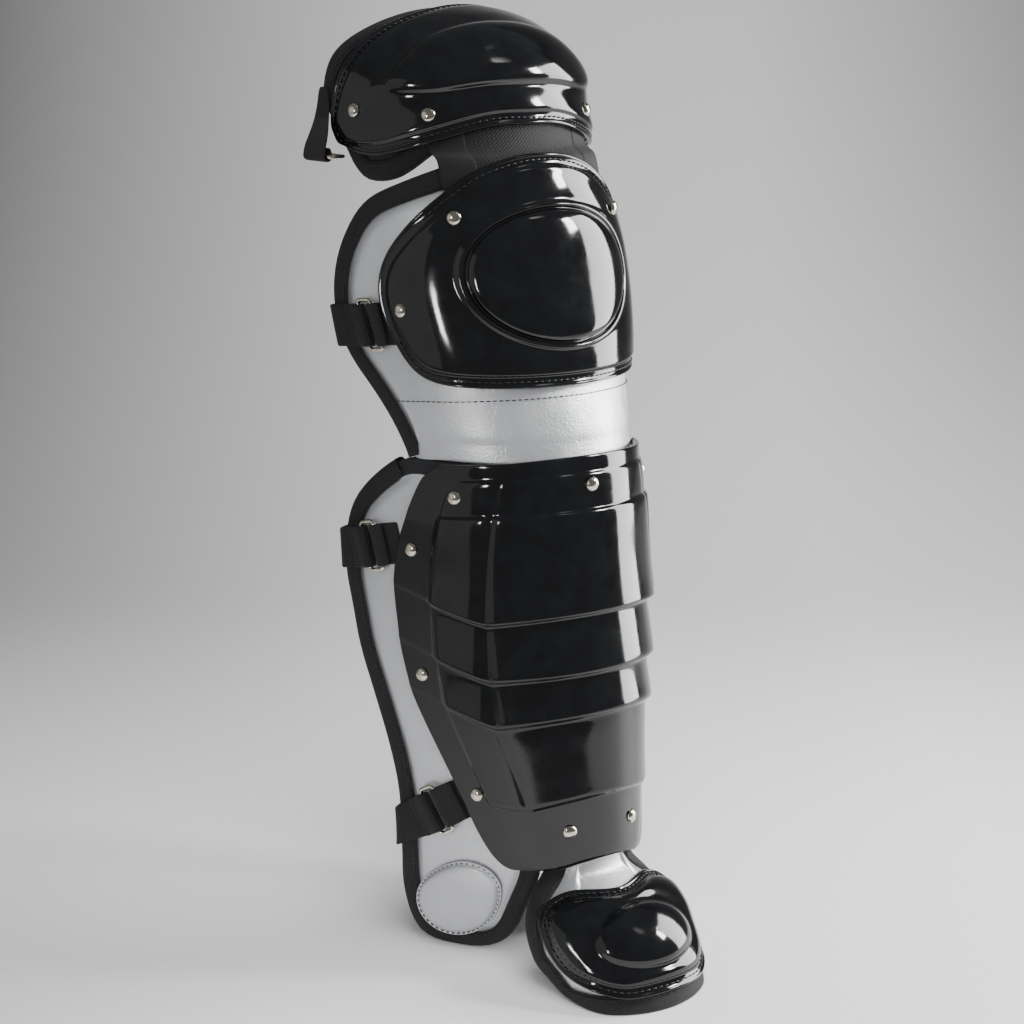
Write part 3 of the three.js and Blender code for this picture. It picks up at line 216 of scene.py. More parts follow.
def outline(table, girth, length, steps):
    """A closed loop of (across, along) stations from a half table, mirrored to the left.

    The table runs from the top centre to the right and down to the bottom centre, and marks its corners.
    steps counts the stations on each stretch between corners."""
    half = np.array([(row[0] * girth, row[1] * length) for row in table], float)
    mirrored = half[1:-1][::-1] * (-1, 1)
    points = np.concatenate([half, mirrored])
    stops = [0] + [i for i, row in enumerate(table) if len(row) > 2] + [len(table) - 1]
    right = []
    for k, count in enumerate(steps):
        ts = np.linspace(stops[k], stops[k + 1], 121) / len(points)
        path = np.array([curve_point(points, t) for t in ts])
        lengths = np.concatenate([[0], np.cumsum(np.linalg.norm(np.diff(path, axis=0), axis=1))])
        goals = np.linspace(0, lengths[-1], count + 1)
        piece = np.stack([np.interp(goals, lengths, path[:, c]) for c in (0, 1)], -1)
        right.append(piece if k == 0 else piece[1:])
    right = np.concatenate(right)
    right[0, 0] = 0
    right[-1, 0] = 0
    return np.concatenate([right, right[1:-1][::-1] * (-1, 1)])


def grow(form, loop, distance, is_open=False, ease=0.0):
    """Moves a loop outwards over its form by a real distance, in short moves; ease rounds tight corners."""
    moves = max(1, math.ceil(abs(distance) / MOVE))
    loop = np.array(loop, float)
    for _ in range(moves):
        before, after = np.roll(loop, 1, 0), np.roll(loop, -1, 0)
        if is_open:
            before[0], after[-1] = loop[0], loop[-1]
        up = form(loop[:, 0], loop[:, 1] + 0.5)
        down = form(loop[:, 0], loop[:, 1] - 0.5)
        stretch = np.maximum(np.linalg.norm(up - down, axis=1) / MM, LEAST_STRETCH)
        ta = after[:, 0] - before[:, 0]
        tb = (after[:, 1] - before[:, 1]) * stretch
        size = np.hypot(ta, tb)
        step = distance / moves
        moved = loop + np.stack([-step * tb / size, step * ta / size / stretch], -1)
        if ease and not is_open:
            middle = (np.roll(moved, 1, 0) + np.roll(moved, -1, 0)) / 2
            moved += (middle - moved) * ease
        loop = moved
    return loop


def blend(a, b, share):
    return a + (b - a) * share


def oval(centre_along, across, along, count):
    turn = np.linspace(0, 2 * math.pi, count, endpoint=False)
    return np.stack([across * np.sin(turn), centre_along + along * np.cos(turn)], -1)


def lay(form, loop, lift):
    return form(loop[..., 0], loop[..., 1], lift)


def fill(loop, wide, tall):
    """A grid of stations inside a loop, as a Coons patch between its four stretches."""
    half = wide // 2
    count = len(loop)

    def station(i):
        return loop[i % count]

    corners = [station(-half), station(half), station(half + tall), station(-half - tall)]
    rows = []
    for i in range(tall + 1):
        row = []
        for j in range(wide + 1):
            u, w = j / wide, i / tall
            row.append(
                (1 - w) * station(j - half)
                + w * station(half + tall + wide - j)
                + (1 - u) * station(-half - i)
                + u * station(half + i)
                - (1 - u) * (1 - w) * corners[0]
                - u * (1 - w) * corners[1]
                - u * w * corners[2]
                - (1 - u) * w * corners[3]
            )
        rows.append(row)
    return np.array(rows)


class Skin:
    """Collects grids of points as quads with a woven direction, then makes one smooth closed piece."""

    def __init__(self):
        self.points = []
        self.faces = []
        self.weave = []
        self.looks = []

    def grid(self, points, weave=None, look=0):
        points = np.asarray(points, float)
        rows, columns = points.shape[:2]
        base = len(self.points)
        self.points.extend(points.reshape(-1, 3).tolist())
        if weave is None:
            weave = np.zeros((rows, columns, 2))
        for i in range(rows - 1):
            for j in range(columns - 1):
                corners = ((i, j), (i, j + 1), (i + 1, j + 1), (i + 1, j))
                self.faces.append([base + r * columns + c for r, c in corners])
                self.weave.append([tuple(weave[r][c]) for r, c in corners])
                self.looks.append(look)

    def cap(self, points):
        """Closes an end whose points run round it, as quads between its two halves."""
        points = np.asarray(points, float)
        half = len(points) // 2
        self.grid([points[:half], points[half:][::-1]])

    def make(self, name, materials, levels=2):
        mesh = bpy.data.meshes.new(name)
        mesh.from_pydata(self.points, [], self.faces)
        layer = mesh.uv_layers.new(name="weave")
        layer.data.foreach_set("uv", np.array(self.weave, float).ravel())
        mesh.polygons.foreach_set("material_index", self.looks)
        for material in materials:
            mesh.materials.append(material)
        piece = bpy.data.objects.new(name, mesh)
        bpy.context.scene.collection.objects.link(piece)
        weld(piece)
        if levels:
            smooth = piece.modifiers.new("smooth", "SUBSURF")
            smooth.levels = levels
            smooth.render_levels = levels
            bpy.ops.object.modifier_apply(modifier="smooth")
        bpy.ops.object.shade_smooth_by_angle(angle=math.radians(60))
        return piece


def only(piece):
    bpy.ops.object.select_all(action="DESELECT")
    piece.select_set(True)
    bpy.context.view_layer.objects.active = piece


def weld(piece, merge=True, dissolve=True):
    """Joins doubled points and turns every face outwards."""
    only(piece)
    bpy.ops.object.mode_set(mode="EDIT")
    bpy.ops.mesh.select_all(action="SELECT")
    if merge:
        bpy.ops.mesh.remove_doubles(threshold=2e-6)
    if dissolve:
        bpy.ops.mesh.dissolve_degenerate(threshold=1e-6)
    bpy.ops.mesh.normals_make_consistent(inside=False)
    bpy.ops.object.mode_set(mode="OBJECT")


def closed(rings):
    """Each ring with its first point again at its end."""
    return [np.concatenate([ring, ring[:1]]) for ring in rings]


def slab(face, back, weave=None):
    """A skin of two walls and the four edges between them."""
    skin = Skin()
    skin.grid(face, weave=weave)
    skin.grid(back, weave=weave)
    skin.grid([face[0], back[0]])
    skin.grid([face[-1], back[-1]])
    skin.grid([face[:, 0], back[:, 0]])
    skin.grid([face[:, -1], back[:, -1]])
    return skin


def stretch_of(loop, first, last):
    """The loop's stations from first to last, counted on past its end."""
    return np.array([loop[i % len(loop)] for i in range(first, last + 1)])


def dress(piece, slot, *nodes):
    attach(piece, "root")
    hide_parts(*nodes)
    return piece


def lengths_along(points, ring=False):
    """Running length along a list of points, in metres."""
    points = np.asarray(points, float)
    if ring:
        points = np.concatenate([points, points[:1]])
    return np.concatenate([[0], np.cumsum(np.linalg.norm(np.diff(points, axis=0), axis=1))])


# Materials
def linear(hex_colour):
    """sRGB hex to linear colour."""
    value = hex_colour.lstrip("#")
    parts = [int(value[i : i + 2], 16) / 255 for i in (0, 2, 4)]
    return tuple(c / 12.92 if c <= 0.04045 else ((c + 0.055) / 1.055) ** 2.4 for c in parts) + (1.0,)


def node(tree, kind, settings=None, links=None):
    """Adds a node: settings fill its attributes, sockets and ramp, links join sockets to nodes' outputs."""
    made = tree.nodes.new(kind)
    for key, value in (settings or {}).items():
        if key == "ramp":
            elements = made.color_ramp.elements
            while len(elements) < len(value):
                elements.new(0.5)
            for element, (place, colour) in zip(elements, value):
                element.position = place
                element.color = colour
        elif isinstance(key, str) and hasattr(made, key):
            setattr(made, key, value)
        else:
            made.inputs[key].default_value = value
    for key, (source, output) in (links or {}).items():
        tree.links.new(source.outputs[output], made.inputs[key])
    return made


def grey(value):
    return (value, value, value, 1.0)


def new_material(name):
    material = bpy.data.materials.new(name)
    material.use_nodes = True
    tree = material.node_tree
    tree.nodes.clear()
    return material, tree, node(tree, "ShaderNodeTexCoord")


def finish_material(tree, settings, tint, relief, rough=None):
    links = {"Base Color": (tint, "Color"), "Normal": (relief, "Normal")}
    if rough:
        links["Roughness"] = (rough, "Color")
    shader = node(tree, "ShaderNodeBsdfPrincipled", settings, links)
    node(tree, "ShaderNodeOutputMaterial", {}, {"Surface": (shader, "BSDF")})


def gloss_plastic(colour):
    """Vacuum-formed black sheet plastic: near mirror gloss, soft waves from the forming, faint rub marks."""
    material, tree, place = new_material("gloss_formed_plastic")
    solid = {"Vector": (place, "Object")}
    # forming leaves waves about 40 mm long
    waves = node(tree, "ShaderNodeTexNoise", {"Scale": 24.0, "Detail": 1.0}, solid)
    # the sheet's own fine orange peel, 2 mm, drawn a little coarse so that it shows
    peel = node(tree, "ShaderNodeTexNoise", {"Scale": 420.0, "Detail": 2.0}, solid)
    rub = node(tree, "ShaderNodeTexNoise", {"Scale": 60.0, "Detail": 6.0, "Roughness": 0.7}, solid)
    gloss = [(0.35, grey(0.07)), (0.62, grey(0.11)), (0.8, grey(0.2))]
    rough = node(tree, "ShaderNodeValToRGB", {"ramp": gloss}, {"Fac": (rub, "Fac")})
    blacks = [(0.3, linear(colour)), (0.9, linear("#111213"))]
    tint = node(tree, "ShaderNodeValToRGB", {"ramp": blacks}, {"Fac": (rub, "Fac")})
    soft = node(tree, "ShaderNodeBump", {"Strength": 0.1, "Distance": 0.0008}, {"Height": (waves, "Fac")})
    both = {"Height": (peel, "Fac"), "Normal": (soft, "Normal")}
    fine = node(tree, "ShaderNodeBump", {"Strength": 0.04, "Distance": 0.0003}, both)
    finish_material(tree, {"IOR": 1.5, "Metallic": 0.0}, tint, fine, rough)
    return material


def silver_vinyl(colour):
    """Metallic coated vinyl on foam: a soft sheen, pebble grain about 1.2 mm across, faint handling marks."""
    material, tree, place = new_material("silver_coated_vinyl")
    solid = {"Vector": (place, "Object")}
    grain = node(tree, "ShaderNodeTexVoronoi", {"Scale": 850.0, "feature": "SMOOTH_F1"}, solid)
    creases = node(tree, "ShaderNodeTexNoise", {"Scale": 45.0, "Detail": 5.0}, solid)
    marks = node(tree, "ShaderNodeTexNoise", {"Scale": 9.0, "Detail": 4.0}, solid)
    silvers = [(0.3, linear(colour)), (0.7, linear("#CBCCCE"))]
    tint = node(tree, "ShaderNodeValToRGB", {"ramp": silvers}, {"Fac": (marks, "Fac")})
    sheen = [(0.3, grey(0.38)), (0.7, grey(0.5))]
    rough = node(tree, "ShaderNodeValToRGB", {"ramp": sheen}, {"Fac": (creases, "Fac")})
    low = node(tree, "ShaderNodeBump", {"Strength": 0.5, "Distance": 0.0015}, {"Height": (creases, "Fac")})
    both = {"Height": (grain, "Distance"), "Normal": (low, "Normal")}
    high = node(tree, "ShaderNodeBump", {"Strength": 0.45, "Distance": 0.0004}, both)
    finish_material(tree, {"Metallic": 0.8, "IOR": 1.5}, tint, high, rough)
    return material


def woven(name, colour, light, thread, slant):
    """Woven nylon: matt yarns crossing, each catching a little light along its top.

    thread is the spacing of the yarns in mm; slant is 1 for a twill at 45 degrees and 0 for a plain weave."""
    material, tree, place = new_material(name)
    solid = {"Vector": (place, "Object")}
    rotation = {"Rotation": (0, 0, math.radians(45 * slant))}
    turned = node(tree, "ShaderNodeMapping", rotation, {"Vector": (place, "UV")})
    # a wave texture repeats every pi / 10 of its scaled coordinate
    scale = 1000.0 / thread * math.pi / 10
    yarn = {"Distortion": 0.6, "Detail Scale": 2.0}
    lengthways = {"Scale": scale, "bands_direction": "X", **yarn}
    crossways = {"Scale": scale * 0.6, "bands_direction": "Y", **yarn}
    warp = node(tree, "ShaderNodeTexWave", lengthways, {"Vector": (turned, "Vector")})
    weft = node(tree, "ShaderNodeTexWave", crossways, {"Vector": (place, "UV")})
    fuzz = node(tree, "ShaderNodeTexNoise", {"Scale": 1800.0, "Detail": 3.0}, solid)
    crossed = node(tree, "ShaderNodeMath", {"operation": "MULTIPLY"}, {0: (warp, "Fac"), 1: (weft, "Fac")})
    summed = node(tree, "ShaderNodeMath", {"operation": "ADD"}, {0: (crossed, "Value"), 1: (warp, "Fac")})
    # painted highlight: the lighter colour lies along each yarn's top
    yarns = [(0.2, linear(colour)), (1.0, linear(light))]
    tint = node(tree, "ShaderNodeValToRGB", {"ramp": yarns}, {"Fac": (summed, "Value")})
    ribs = node(tree, "ShaderNodeBump", {"Strength": 0.5, "Distance": 0.0004}, {"Height": (summed, "Value")})
    both = {"Height": (fuzz, "Fac"), "Normal": (ribs, "Normal")}
    hair = node(tree, "ShaderNodeBump", {"Strength": 0.2, "Distance": 0.0002}, both)
    settings = {"Roughness": 0.75, "IOR": 1.45, "Sheen Weight": 0.02, "Sheen Roughness": 0.5}
    finish_material(tree, settings, tint, hair)
    return material


def bright_nickel(colour):
    """Polished nickel plate on steel: warm mirror with faint pits and tarnish."""
    material, tree, place = new_material("bright_nickel_plate")
    solid = {"Vector": (place, "Object")}
    spots = node(tree, "ShaderNodeTexNoise", {"Scale": 500.0, "Detail": 4.0}, solid)
    tarnish = [(0.35, linear(colour)), (0.75, linear("#B7A88F"))]
    tint = node(tree, "ShaderNodeValToRGB", {"ramp": tarnish}, {"Fac": (spots, "Fac")})
    polish = [(0.3, grey(0.1)), (0.8, grey(0.26))]
    rough = node(tree, "ShaderNodeValToRGB", {"ramp": polish}, {"Fac": (spots, "Fac")})
    pits = node(tree, "ShaderNodeBump", {"Strength": 0.05, "Distance": 0.0003}, {"Height": (spots, "Fac")})
    finish_material(tree, {"Metallic": 1.0}, tint, pits, rough)
    return material


def thread_nylon(colour):
    """Bonded nylon sewing thread: dark, slightly waxy, with its twist just showing."""
    material, tree, place = new_material("bonded_nylon_thread")
    solid = {"Vector": (place, "Object")}
    twist = node(tree, "ShaderNodeTexNoise", {"Scale": 1500.0, "Detail": 2.0}, solid)
    fibres = [(0.3, linear(colour)), (0.8, linear("#1D1E20"))]
    tint = node(tree, "ShaderNodeValToRGB", {"ramp": fibres}, {"Fac": (twist, "Fac")})
    relief = node(tree, "ShaderNodeBump", {"Strength": 0.3, "Distance": 0.0002}, {"Height": (twist, "Fac")})
    finish_material(tree, {"Roughness": 0.42, "IOR": 1.53}, tint, relief)
    return material


def painted_paper(name, colour, light):
    """Matt seamless studio paper with painted light and shade: painted lighter by the object, painted shade
    darker to the back and to both sides.
    """
    material, tree, place = new_material(name)
    solid = {"Vector": (place, "Object")}
    rotation = {"Rotation": (0, 0, math.radians(-CAMERA_TURN))}
    turned = node(tree, "ShaderNodeMapping", rotation, solid)
    parts = node(tree, "ShaderNodeSeparateXYZ", {}, {"Vector": (turned, "Vector")})
    # painted shade: the paper's colour is darkened towards both sides and to the back
    moved = node(tree, "ShaderNodeMath", {"operation": "SUBTRACT", 1: 0.08}, {0: (parts, "X")})
    aside = node(tree, "ShaderNodeMath", {"operation": "ABSOLUTE"}, {0: (moved, "Value")})
    # metres from the middle line, and metres behind the object
    outwards = {"From Min": 0.27, "From Max": 1.0, "To Min": 0.0, "To Max": 0.65}
    sides = node(tree, "ShaderNodeMapRange", outwards, {"Value": (aside, "Value")})
    backwards = {"From Min": 0.1, "From Max": 0.9, "To Min": 0.0, "To Max": 0.37}
    backwards["interpolation_type"] = "SMOOTHSTEP"
    painted_back_shade = node(tree, "ShaderNodeMapRange", backwards, {"Value": (parts, "Y")})
    shade = node(tree, "ShaderNodeMath", {"operation": "ADD"}, {0: (sides, "Result"), 1: (painted_back_shade, "Result")})
    mottle = node(tree, "ShaderNodeTexNoise", {"Scale": 1.3, "Detail": 3.0}, solid)
    uneven = {"operation": "MULTIPLY_ADD", 1: 0.06}
    mixed = node(tree, "ShaderNodeMath", uneven, {0: (mottle, "Fac"), 2: (shade, "Value")})
    fibre = node(tree, "ShaderNodeTexNoise", {"Scale": 900.0, "Detail": 2.0}, solid)
    # painted light by the object, the paper's colour, then painted shade at the sides and back
    painted_light_and_shade_greys = [(0.03, linear(light)), (0.38, linear(colour)), (1.0, linear("#707070"))]
    tint = node(tree, "ShaderNodeValToRGB", {"ramp": painted_light_and_shade_greys}, {"Fac": (mixed, "Value")})
    relief = node(tree, "ShaderNodeBump", {"Strength": 0.05, "Distance": 0.0005}, {"Height": (fibre, "Fac")})
    finish_material(tree, {"Roughness": 0.62}, tint, relief)
    return material


MATERIALS = {}


def look(name):
    """The finished material of that name, made once from the colours in the panel."""
    if name not in MATERIALS:
        colours = bpy.context.scene.legguard_colours
        makers = {
            "plastic": lambda: gloss_plastic(colours.plastic),
            "silver": lambda: silver_vinyl(colours.silver),
            "webbing": lambda: woven("black_nylon_webbing", colours.webbing, "#171719", 1.1, 1),
            "elastic": lambda: woven("black_ribbed_elastic", colours.webbing, "#101012", 1.6, 0),
            "twill": lambda: woven("black_hinge_twill", colours.webbing, "#121214", 1.8, 1),
            "lining": lambda: woven("black_mesh_lining", "#0D0D0F", "#1C1D1F", 1.6, 0),
            "metal": lambda: bright_nickel(colours.metal),
            "thread": lambda: thread_nylon("#0B0B0D"),
        }
        MATERIALS[name] = makers[name]()
    return MATERIALS[name]


# Padding
KNEE_EDGE = [
    (0.00, 1.088), (0.60, 1.084), (0.81, 1.072), (1.00, 1.060), (1.34, 1.032, "corner"), (1.56, 0.980),
    (1.65, 0.936), (1.69, 0.876), (1.64, 0.828), (1.47, 0.780), (1.33, 0.730), (1.27, 0.6970, "corner"),
    (1.00, 0.6970), (0.00, 0.6970),
]
SHIN_EDGE = [
    (0.00, 0.7043), (1.00, 0.7043), (1.30, 0.7030), (1.58, 0.672, "corner"), (1.77, 0.636), (1.85, 0.602),
    (1.89, 0.526), (1.85, 0.486), (1.81, 0.432), (1.71, 0.370), (1.58, 0.290), (1.51, 0.224), (1.51, 0.156),
    (1.48, 0.126), (1.37, 0.070), (1.28, 0.032), (1.18, 0.008), (1.07, 0.000, "corner"), (0.72, 0.000),
    (0.61, 0.008), (0.50, 0.028), (0.46, 0.052), (0.43, 0.132), (0.42, 0.200), (0.34, 0.236), (0.00, 0.240),
]
TOE_EDGE = [
    (0.00, 1.00), (0.36, 1.00), (0.52, 1.00, "corner"), (0.72, 0.99), (0.81, 0.86), (0.84, 0.70),
    (0.87, 0.55), (0.86, 0.47), (0.77, 0.40, "corner"), (0.58, 0.315), (0.40, 0.245), (0.36, 0.17),
    (0.34, 0.06), (0.26, 0.00), (0.00, 0.00),
]
THIGH_EDGE = [
    (0.00, 1.00), (0.54, 1.00), (0.84, 1.00), (1.05, 1.00, "corner"), (1.24, 0.96), (1.34, 0.70),
    (1.38, 0.38), (1.38, 0.10), (1.33, -0.06), (1.22, -0.12, "corner"), (0.95, -0.12), (0.75, -0.05),
    (0.60, 0.02), (0.00, 0.04),
]
# name: form, edge, girth, length, stations (half top, side), thickness
PADS = {
    "knee": (leg, KNEE_EDGE, GIRTH, RISE, (12, 14), PAD_THICK),
    "shin": (leg, SHIN_EDGE, GIRTH, RISE, (14, 26), PAD_THICK),
    "toe": (toe, TOE_EDGE, TOE_GIRTH, TOE_LENGTH, (10, 12), TOE_PAD_THICK),
    "thigh": (thigh, THIGH_EDGE, THIGH_GIRTH, THIGH_LENGTH, (12, 12), PAD_THICK),
}


# stations of the loop that the tape covers, where it doesn't cover them all
TAPED = {"knee": (-26, 26), "shin": (12, 96)}


def pad_loop(name):
    form, table, girth, length, (top, side), _ = PADS[name]
    return grow(form, outline(table, girth, length, [top, side, top]), -EDGE)


def ripple(points, size, seed):
    """Slow swells of the foam, from -1 to 1, over points in metres."""
    x, y, z = (points[..., k] / (size * MM) for k in range(3))
    return (
        np.sin(x * 1.7 + seed) * np.cos(z * 1.3 - seed * 2)
        + np.sin(z * 2.1 + y * 1.1 + seed * 3) * 0.6
        + np.cos(x * 2.9 - z * 1.9 + seed) * 0.4
    ) / 2


def make_pad(name):
    form, _, _, _, (top, side), thick = PADS[name]
    wide = 2 * top
    loop = pad_loop(name)
    skin = Skin()
    bands = [
        (0.0, -PINCH), (-0.8, -PINCH), (-TAPE_WIDTH, -PINCH), (-TAPE_WIDTH - 2.0, -0.6),
        (-TAPE_WIDTH - 6.0, 0.7),
    ]
    rings = [grow(form, loop, out, ease=0.06) if out else loop for out, _ in bands]
    # a tape pinches the edge; without one it stays nearly full
    taped = np.ones(len(loop))
    if name in TAPED:
        first, last = TAPED[name]
        taped[:] = FREE_PINCH
        taped[[i % len(loop) for i in range(first, last + 1)]] = 1.0
    face, back = [], []
    for ring, (_, lift) in zip(rings, bands):
        raised = lift * taped if lift < 0 else np.full(len(loop), lift)
        face.append(lay(form, ring, raised))
        back.append(lay(form, ring, -thick - raised))
    front, behind, stations = closed(face), closed(back), closed(rings)
    weave = np.array(stations) * MM
    skin.grid(front[:3], weave=weave[:3], look=1 if name == "shin" else 0)
    skin.grid(front[2:], weave=weave[2:])
    skin.grid(behind, weave=weave, look=1)
    skin.grid([front[0], behind[0]], weave=[weave[0], weave[0] + thick * MM], look=1)
    inside = fill(rings[-1], wide, side)
    flat = lay(form, inside, 0.0)
    swell = ripple(flat, 60, 1.3)
    swell[0, :] = swell[-1, :] = swell[:, 0] = swell[:, -1] = 0
    skin.grid(lay(form, inside, 0.7 + 0.5 * swell), weave=inside * MM)
    skin.grid(lay(form, inside, -thick - 0.7), weave=inside * MM, look=1)
    cover = "lining" if name == "thigh" else "silver"
    piece = skin.make(f"{name}_pad_dressed", [look(cover), look("lining")])
    dress(piece, "padding_cover", f"{name}_pad")
    return piece


def tape_sections(form, loop, thick, is_open):
    """Woven tape folded round an edge, with rounded corners: its strands and their distance round it."""
    top = TAPE_GAP - PINCH
    low = -thick - top
    t = TAPE_THICK
    section = [
        (-TAPE_WIDTH, top), (TAPE_GAP, top), (TAPE_GAP, low), (-TAPE_WIDTH, low),
        (-TAPE_WIDTH, low - t), (-TAPE_WIDTH / 2, low - t * 1.15), (-0.6, low - t),
        (TAPE_GAP + 0.6 * t, low + 0.4),
        (TAPE_GAP + t, -thick / 2), (TAPE_GAP + 0.6 * t, top - 0.4), (-0.6, top + t),
        (-TAPE_WIDTH / 2, top + t * 1.15),
        (-TAPE_WIDTH, top + t),
    ]
    strands = []
    for out, lift in section:
        strand = lay(form, grow(form, loop, out, is_open, 0.0 if is_open else 0.06), lift)
        strand[:, 2] = np.maximum(strand[:, 2], 0.0)
        strands.append(strand)
    round_it = np.concatenate([[0], np.cumsum([math.dist(a, b) for a, b in zip(section, section[1:])])]) * MM
    return strands, round_it


def make_binding(name, first, last):
    """The binding covers the loop's stations from first to last, or all of them if both are None."""
    form, _, _, _, _, thick = PADS[name]
    loop = pad_loop(name)
    is_open = first is not None
    if is_open:
        loop = stretch_of(loop, first, last)
    strands, round_it = tape_sections(form, loop, thick, is_open)
    run = lengths_along(lay(form, loop, 0.0), ring=not is_open)
    skin = Skin()
    rows = strands + [strands[0]]
    across = np.append(round_it, round_it[-1] + TAPE_THICK * MM)
    weave = np.stack(np.meshgrid(across, run, indexing="ij"), -1)
    if not is_open:
        rows = closed(rows)
    skin.grid(np.array(rows), weave=weave)
    if is_open:
        for end in (0, -1):
            ring = [strand[end] for strand in strands]
            inner, outer = ring[:4], [ring[12], ring[9], ring[7], ring[4]]
            skin.grid([inner, outer])
    piece = skin.make(f"{name}_binding_dressed", [look("webbing")], levels=1)
    return dress(piece, "webbing", f"{name}_binding")


# Shells
KNEE_SHELL = [
    (0.00, 1.098), (0.16, 1.096), (0.43, 1.080), (0.60, 1.060), (0.83, 1.026), (1.02, 0.990), (1.16, 0.956),
    (1.22, 0.922), (1.21, 0.886), (1.15, 0.852), (1.05, 0.820), (0.92, 0.806), (0.70, 0.801), (0.38, 0.800),
    (0.00, 0.800),
]
TOE_SHELL = [
    (0.00, 0.92), (0.19, 0.92), (0.31, 0.915), (0.42, 0.885), (0.52, 0.825), (0.60, 0.73), (0.64, 0.60),
    (0.64, 0.50), (0.61, 0.42), (0.54, 0.37), (0.42, 0.340), (0.28, 0.335), (0.14, 0.370), (0.00, 0.395),
]
THIGH_SHELL = [
    (0.00, 0.86), (0.31, 0.84), (0.65, 0.83), (0.93, 0.79), (1.12, 0.72), (1.30, 0.55), (1.34, 0.38),
    (1.33, 0.15), (1.22, 0.02), (1.03, -0.01), (0.71, 0.045), (0.26, 0.11), (0.00, 0.11),
]
THIGH_BULGE = [
    (0.00, 0.61), (0.17, 0.61), (0.56, 0.575), (0.86, 0.43), (0.84, 0.38), (0.61, 0.30), (0.22, 0.28),
    (0.00, 0.275),
]
# stations on half of a shell's edge
SHELL_HALF = 32
TOE_SHELL_HALF = 26


# how far in from the edge, and raise
RIM = [
    (-0.9, 0.5), (-1.9, 0.5), (-2.8, -0.3), (-FLANGE + 2.2, -0.3), (-FLANGE + 1.0, 0.5),
    (-FLANGE, CROWN - 0.2),
    (-FLANGE - 1.2, CROWN + 0.4), (-FLANGE - 4.0, CROWN + 0.6),
]
# share of the boss or dome, and raise over the crown
BOSS_RINGS = [
    (1.12, 1.9), (1.08, 2.4), (1.055, 4.2), (1.03, 4.5), (1.005, 4.1), (0.985, 2.6), (0.965, 2.6),
    (0.945, 4.6),
    (0.91, 6.2), (0.82, 7.6), (0.66, 8.7), (0.44, 9.4), (0.20, 9.7), (0.0, 9.8),
]
DOME_RINGS = [(1.0, 1.0), (0.94, 3.4), (0.85, 5.2), (0.65, 7.2), (0.4, 8.4), (0.18, 8.9), (0.0, 9.0)]
# share of the way in from the bulge's edge to its middle, and raise over the crown
BULGE_RINGS = [(0.05, 3.6), (0.12, 5.6), (0.25, 7.0), (0.5, 8.3), (0.75, 8.9)]


def rim_rings(form, edge):
    """The rim: a low bead at the edge, a flat stitched flange, then the step up to the crown."""
    return [(edge, -0.3)] + [(grow(form, edge, inwards), up) for inwards, up in RIM]


def ring_shell(name, form, rings, standoff):
    """A wall of nested rings, each a loop and its raise; the last ring is the middle."""
    skin = Skin()
    face = [lay(form, loop, standoff + SHELL_WALL + raise_) for loop, raise_ in rings]
    back = [lay(form, loop, standoff + raise_) for loop, raise_ in rings]
    for wall in (face, back, [face[0], back[0]]):
        skin.grid(closed(wall))
    piece = skin.make(f"{name}_dressed", [look("plastic")])
    return dress(piece, "shell_plastic", name)


def make_knee_shell():
    edge = outline(KNEE_SHELL, GIRTH, RISE, [SHELL_HALF])
    rim = rim_rings(leg, edge)
    count = 2 * SHELL_HALF

    def boss(share):
        return oval(0.942 * RISE, BOSS_LENGTH * share, BOSS_HEIGHT * share, count)

    inner = rim[-1][0]
    steps = ((0.25, 0.8), (0.55, 1.4), (0.85, 1.6))
    rings = rim + [(blend(inner, boss(1.12), share), CROWN + 0.5 + bulge) for share, bulge in steps]
    rings += [(boss(share), CROWN + up) for share, up in BOSS_RINGS]
    return ring_shell("knee_shell", leg, rings, SHELL_STANDOFF)


def make_toe_shell():
    edge = outline(TOE_SHELL, TOE_GIRTH, TOE_LENGTH, [TOE_SHELL_HALF])
    rim = rim_rings(toe, edge)[:-1]

    def dome(share):
        across, along = 0.36 * TOE_GIRTH * share, 0.15 * TOE_LENGTH * share
        return oval(0.655 * TOE_LENGTH, across, along, 2 * TOE_SHELL_HALF)

    steps = ((0.35, 1.6), (0.7, 0.8))
    rings = rim + [(blend(rim[-1][0], dome(1.0), share), CROWN + up) for share, up in steps]
    rings += [(dome(share), CROWN + up) for share, up in DOME_RINGS]
    return ring_shell("toe_shell", toe, rings, TOE_STANDOFF)


def make_thigh_shell():
    edge = outline(THIGH_SHELL, THIGH_GIRTH, THIGH_LENGTH, [SHELL_HALF])
    bulge = outline(THIGH_BULGE, THIGH_GIRTH, THIGH_LENGTH, [SHELL_HALF])
    middle = np.tile([0.0, 0.42 * THIGH_LENGTH], (2 * SHELL_HALF, 1))
    rim = rim_rings(thigh, edge)
    inner = rim[-1][0]
    rings = rim + [(blend(inner, bulge, 0.4), CROWN + 0.8), (blend(inner, bulge, 0.85), CROWN + 0.8)]
    rings += [(bulge, CROWN + 1.0)]
    rings += [(blend(bulge, middle, share), CROWN + up) for share, up in BULGE_RINGS]
    rings += [(middle, CROWN + 9.0)]
    return ring_shell("thigh_shell", thigh, rings, SHELL_STANDOFF)


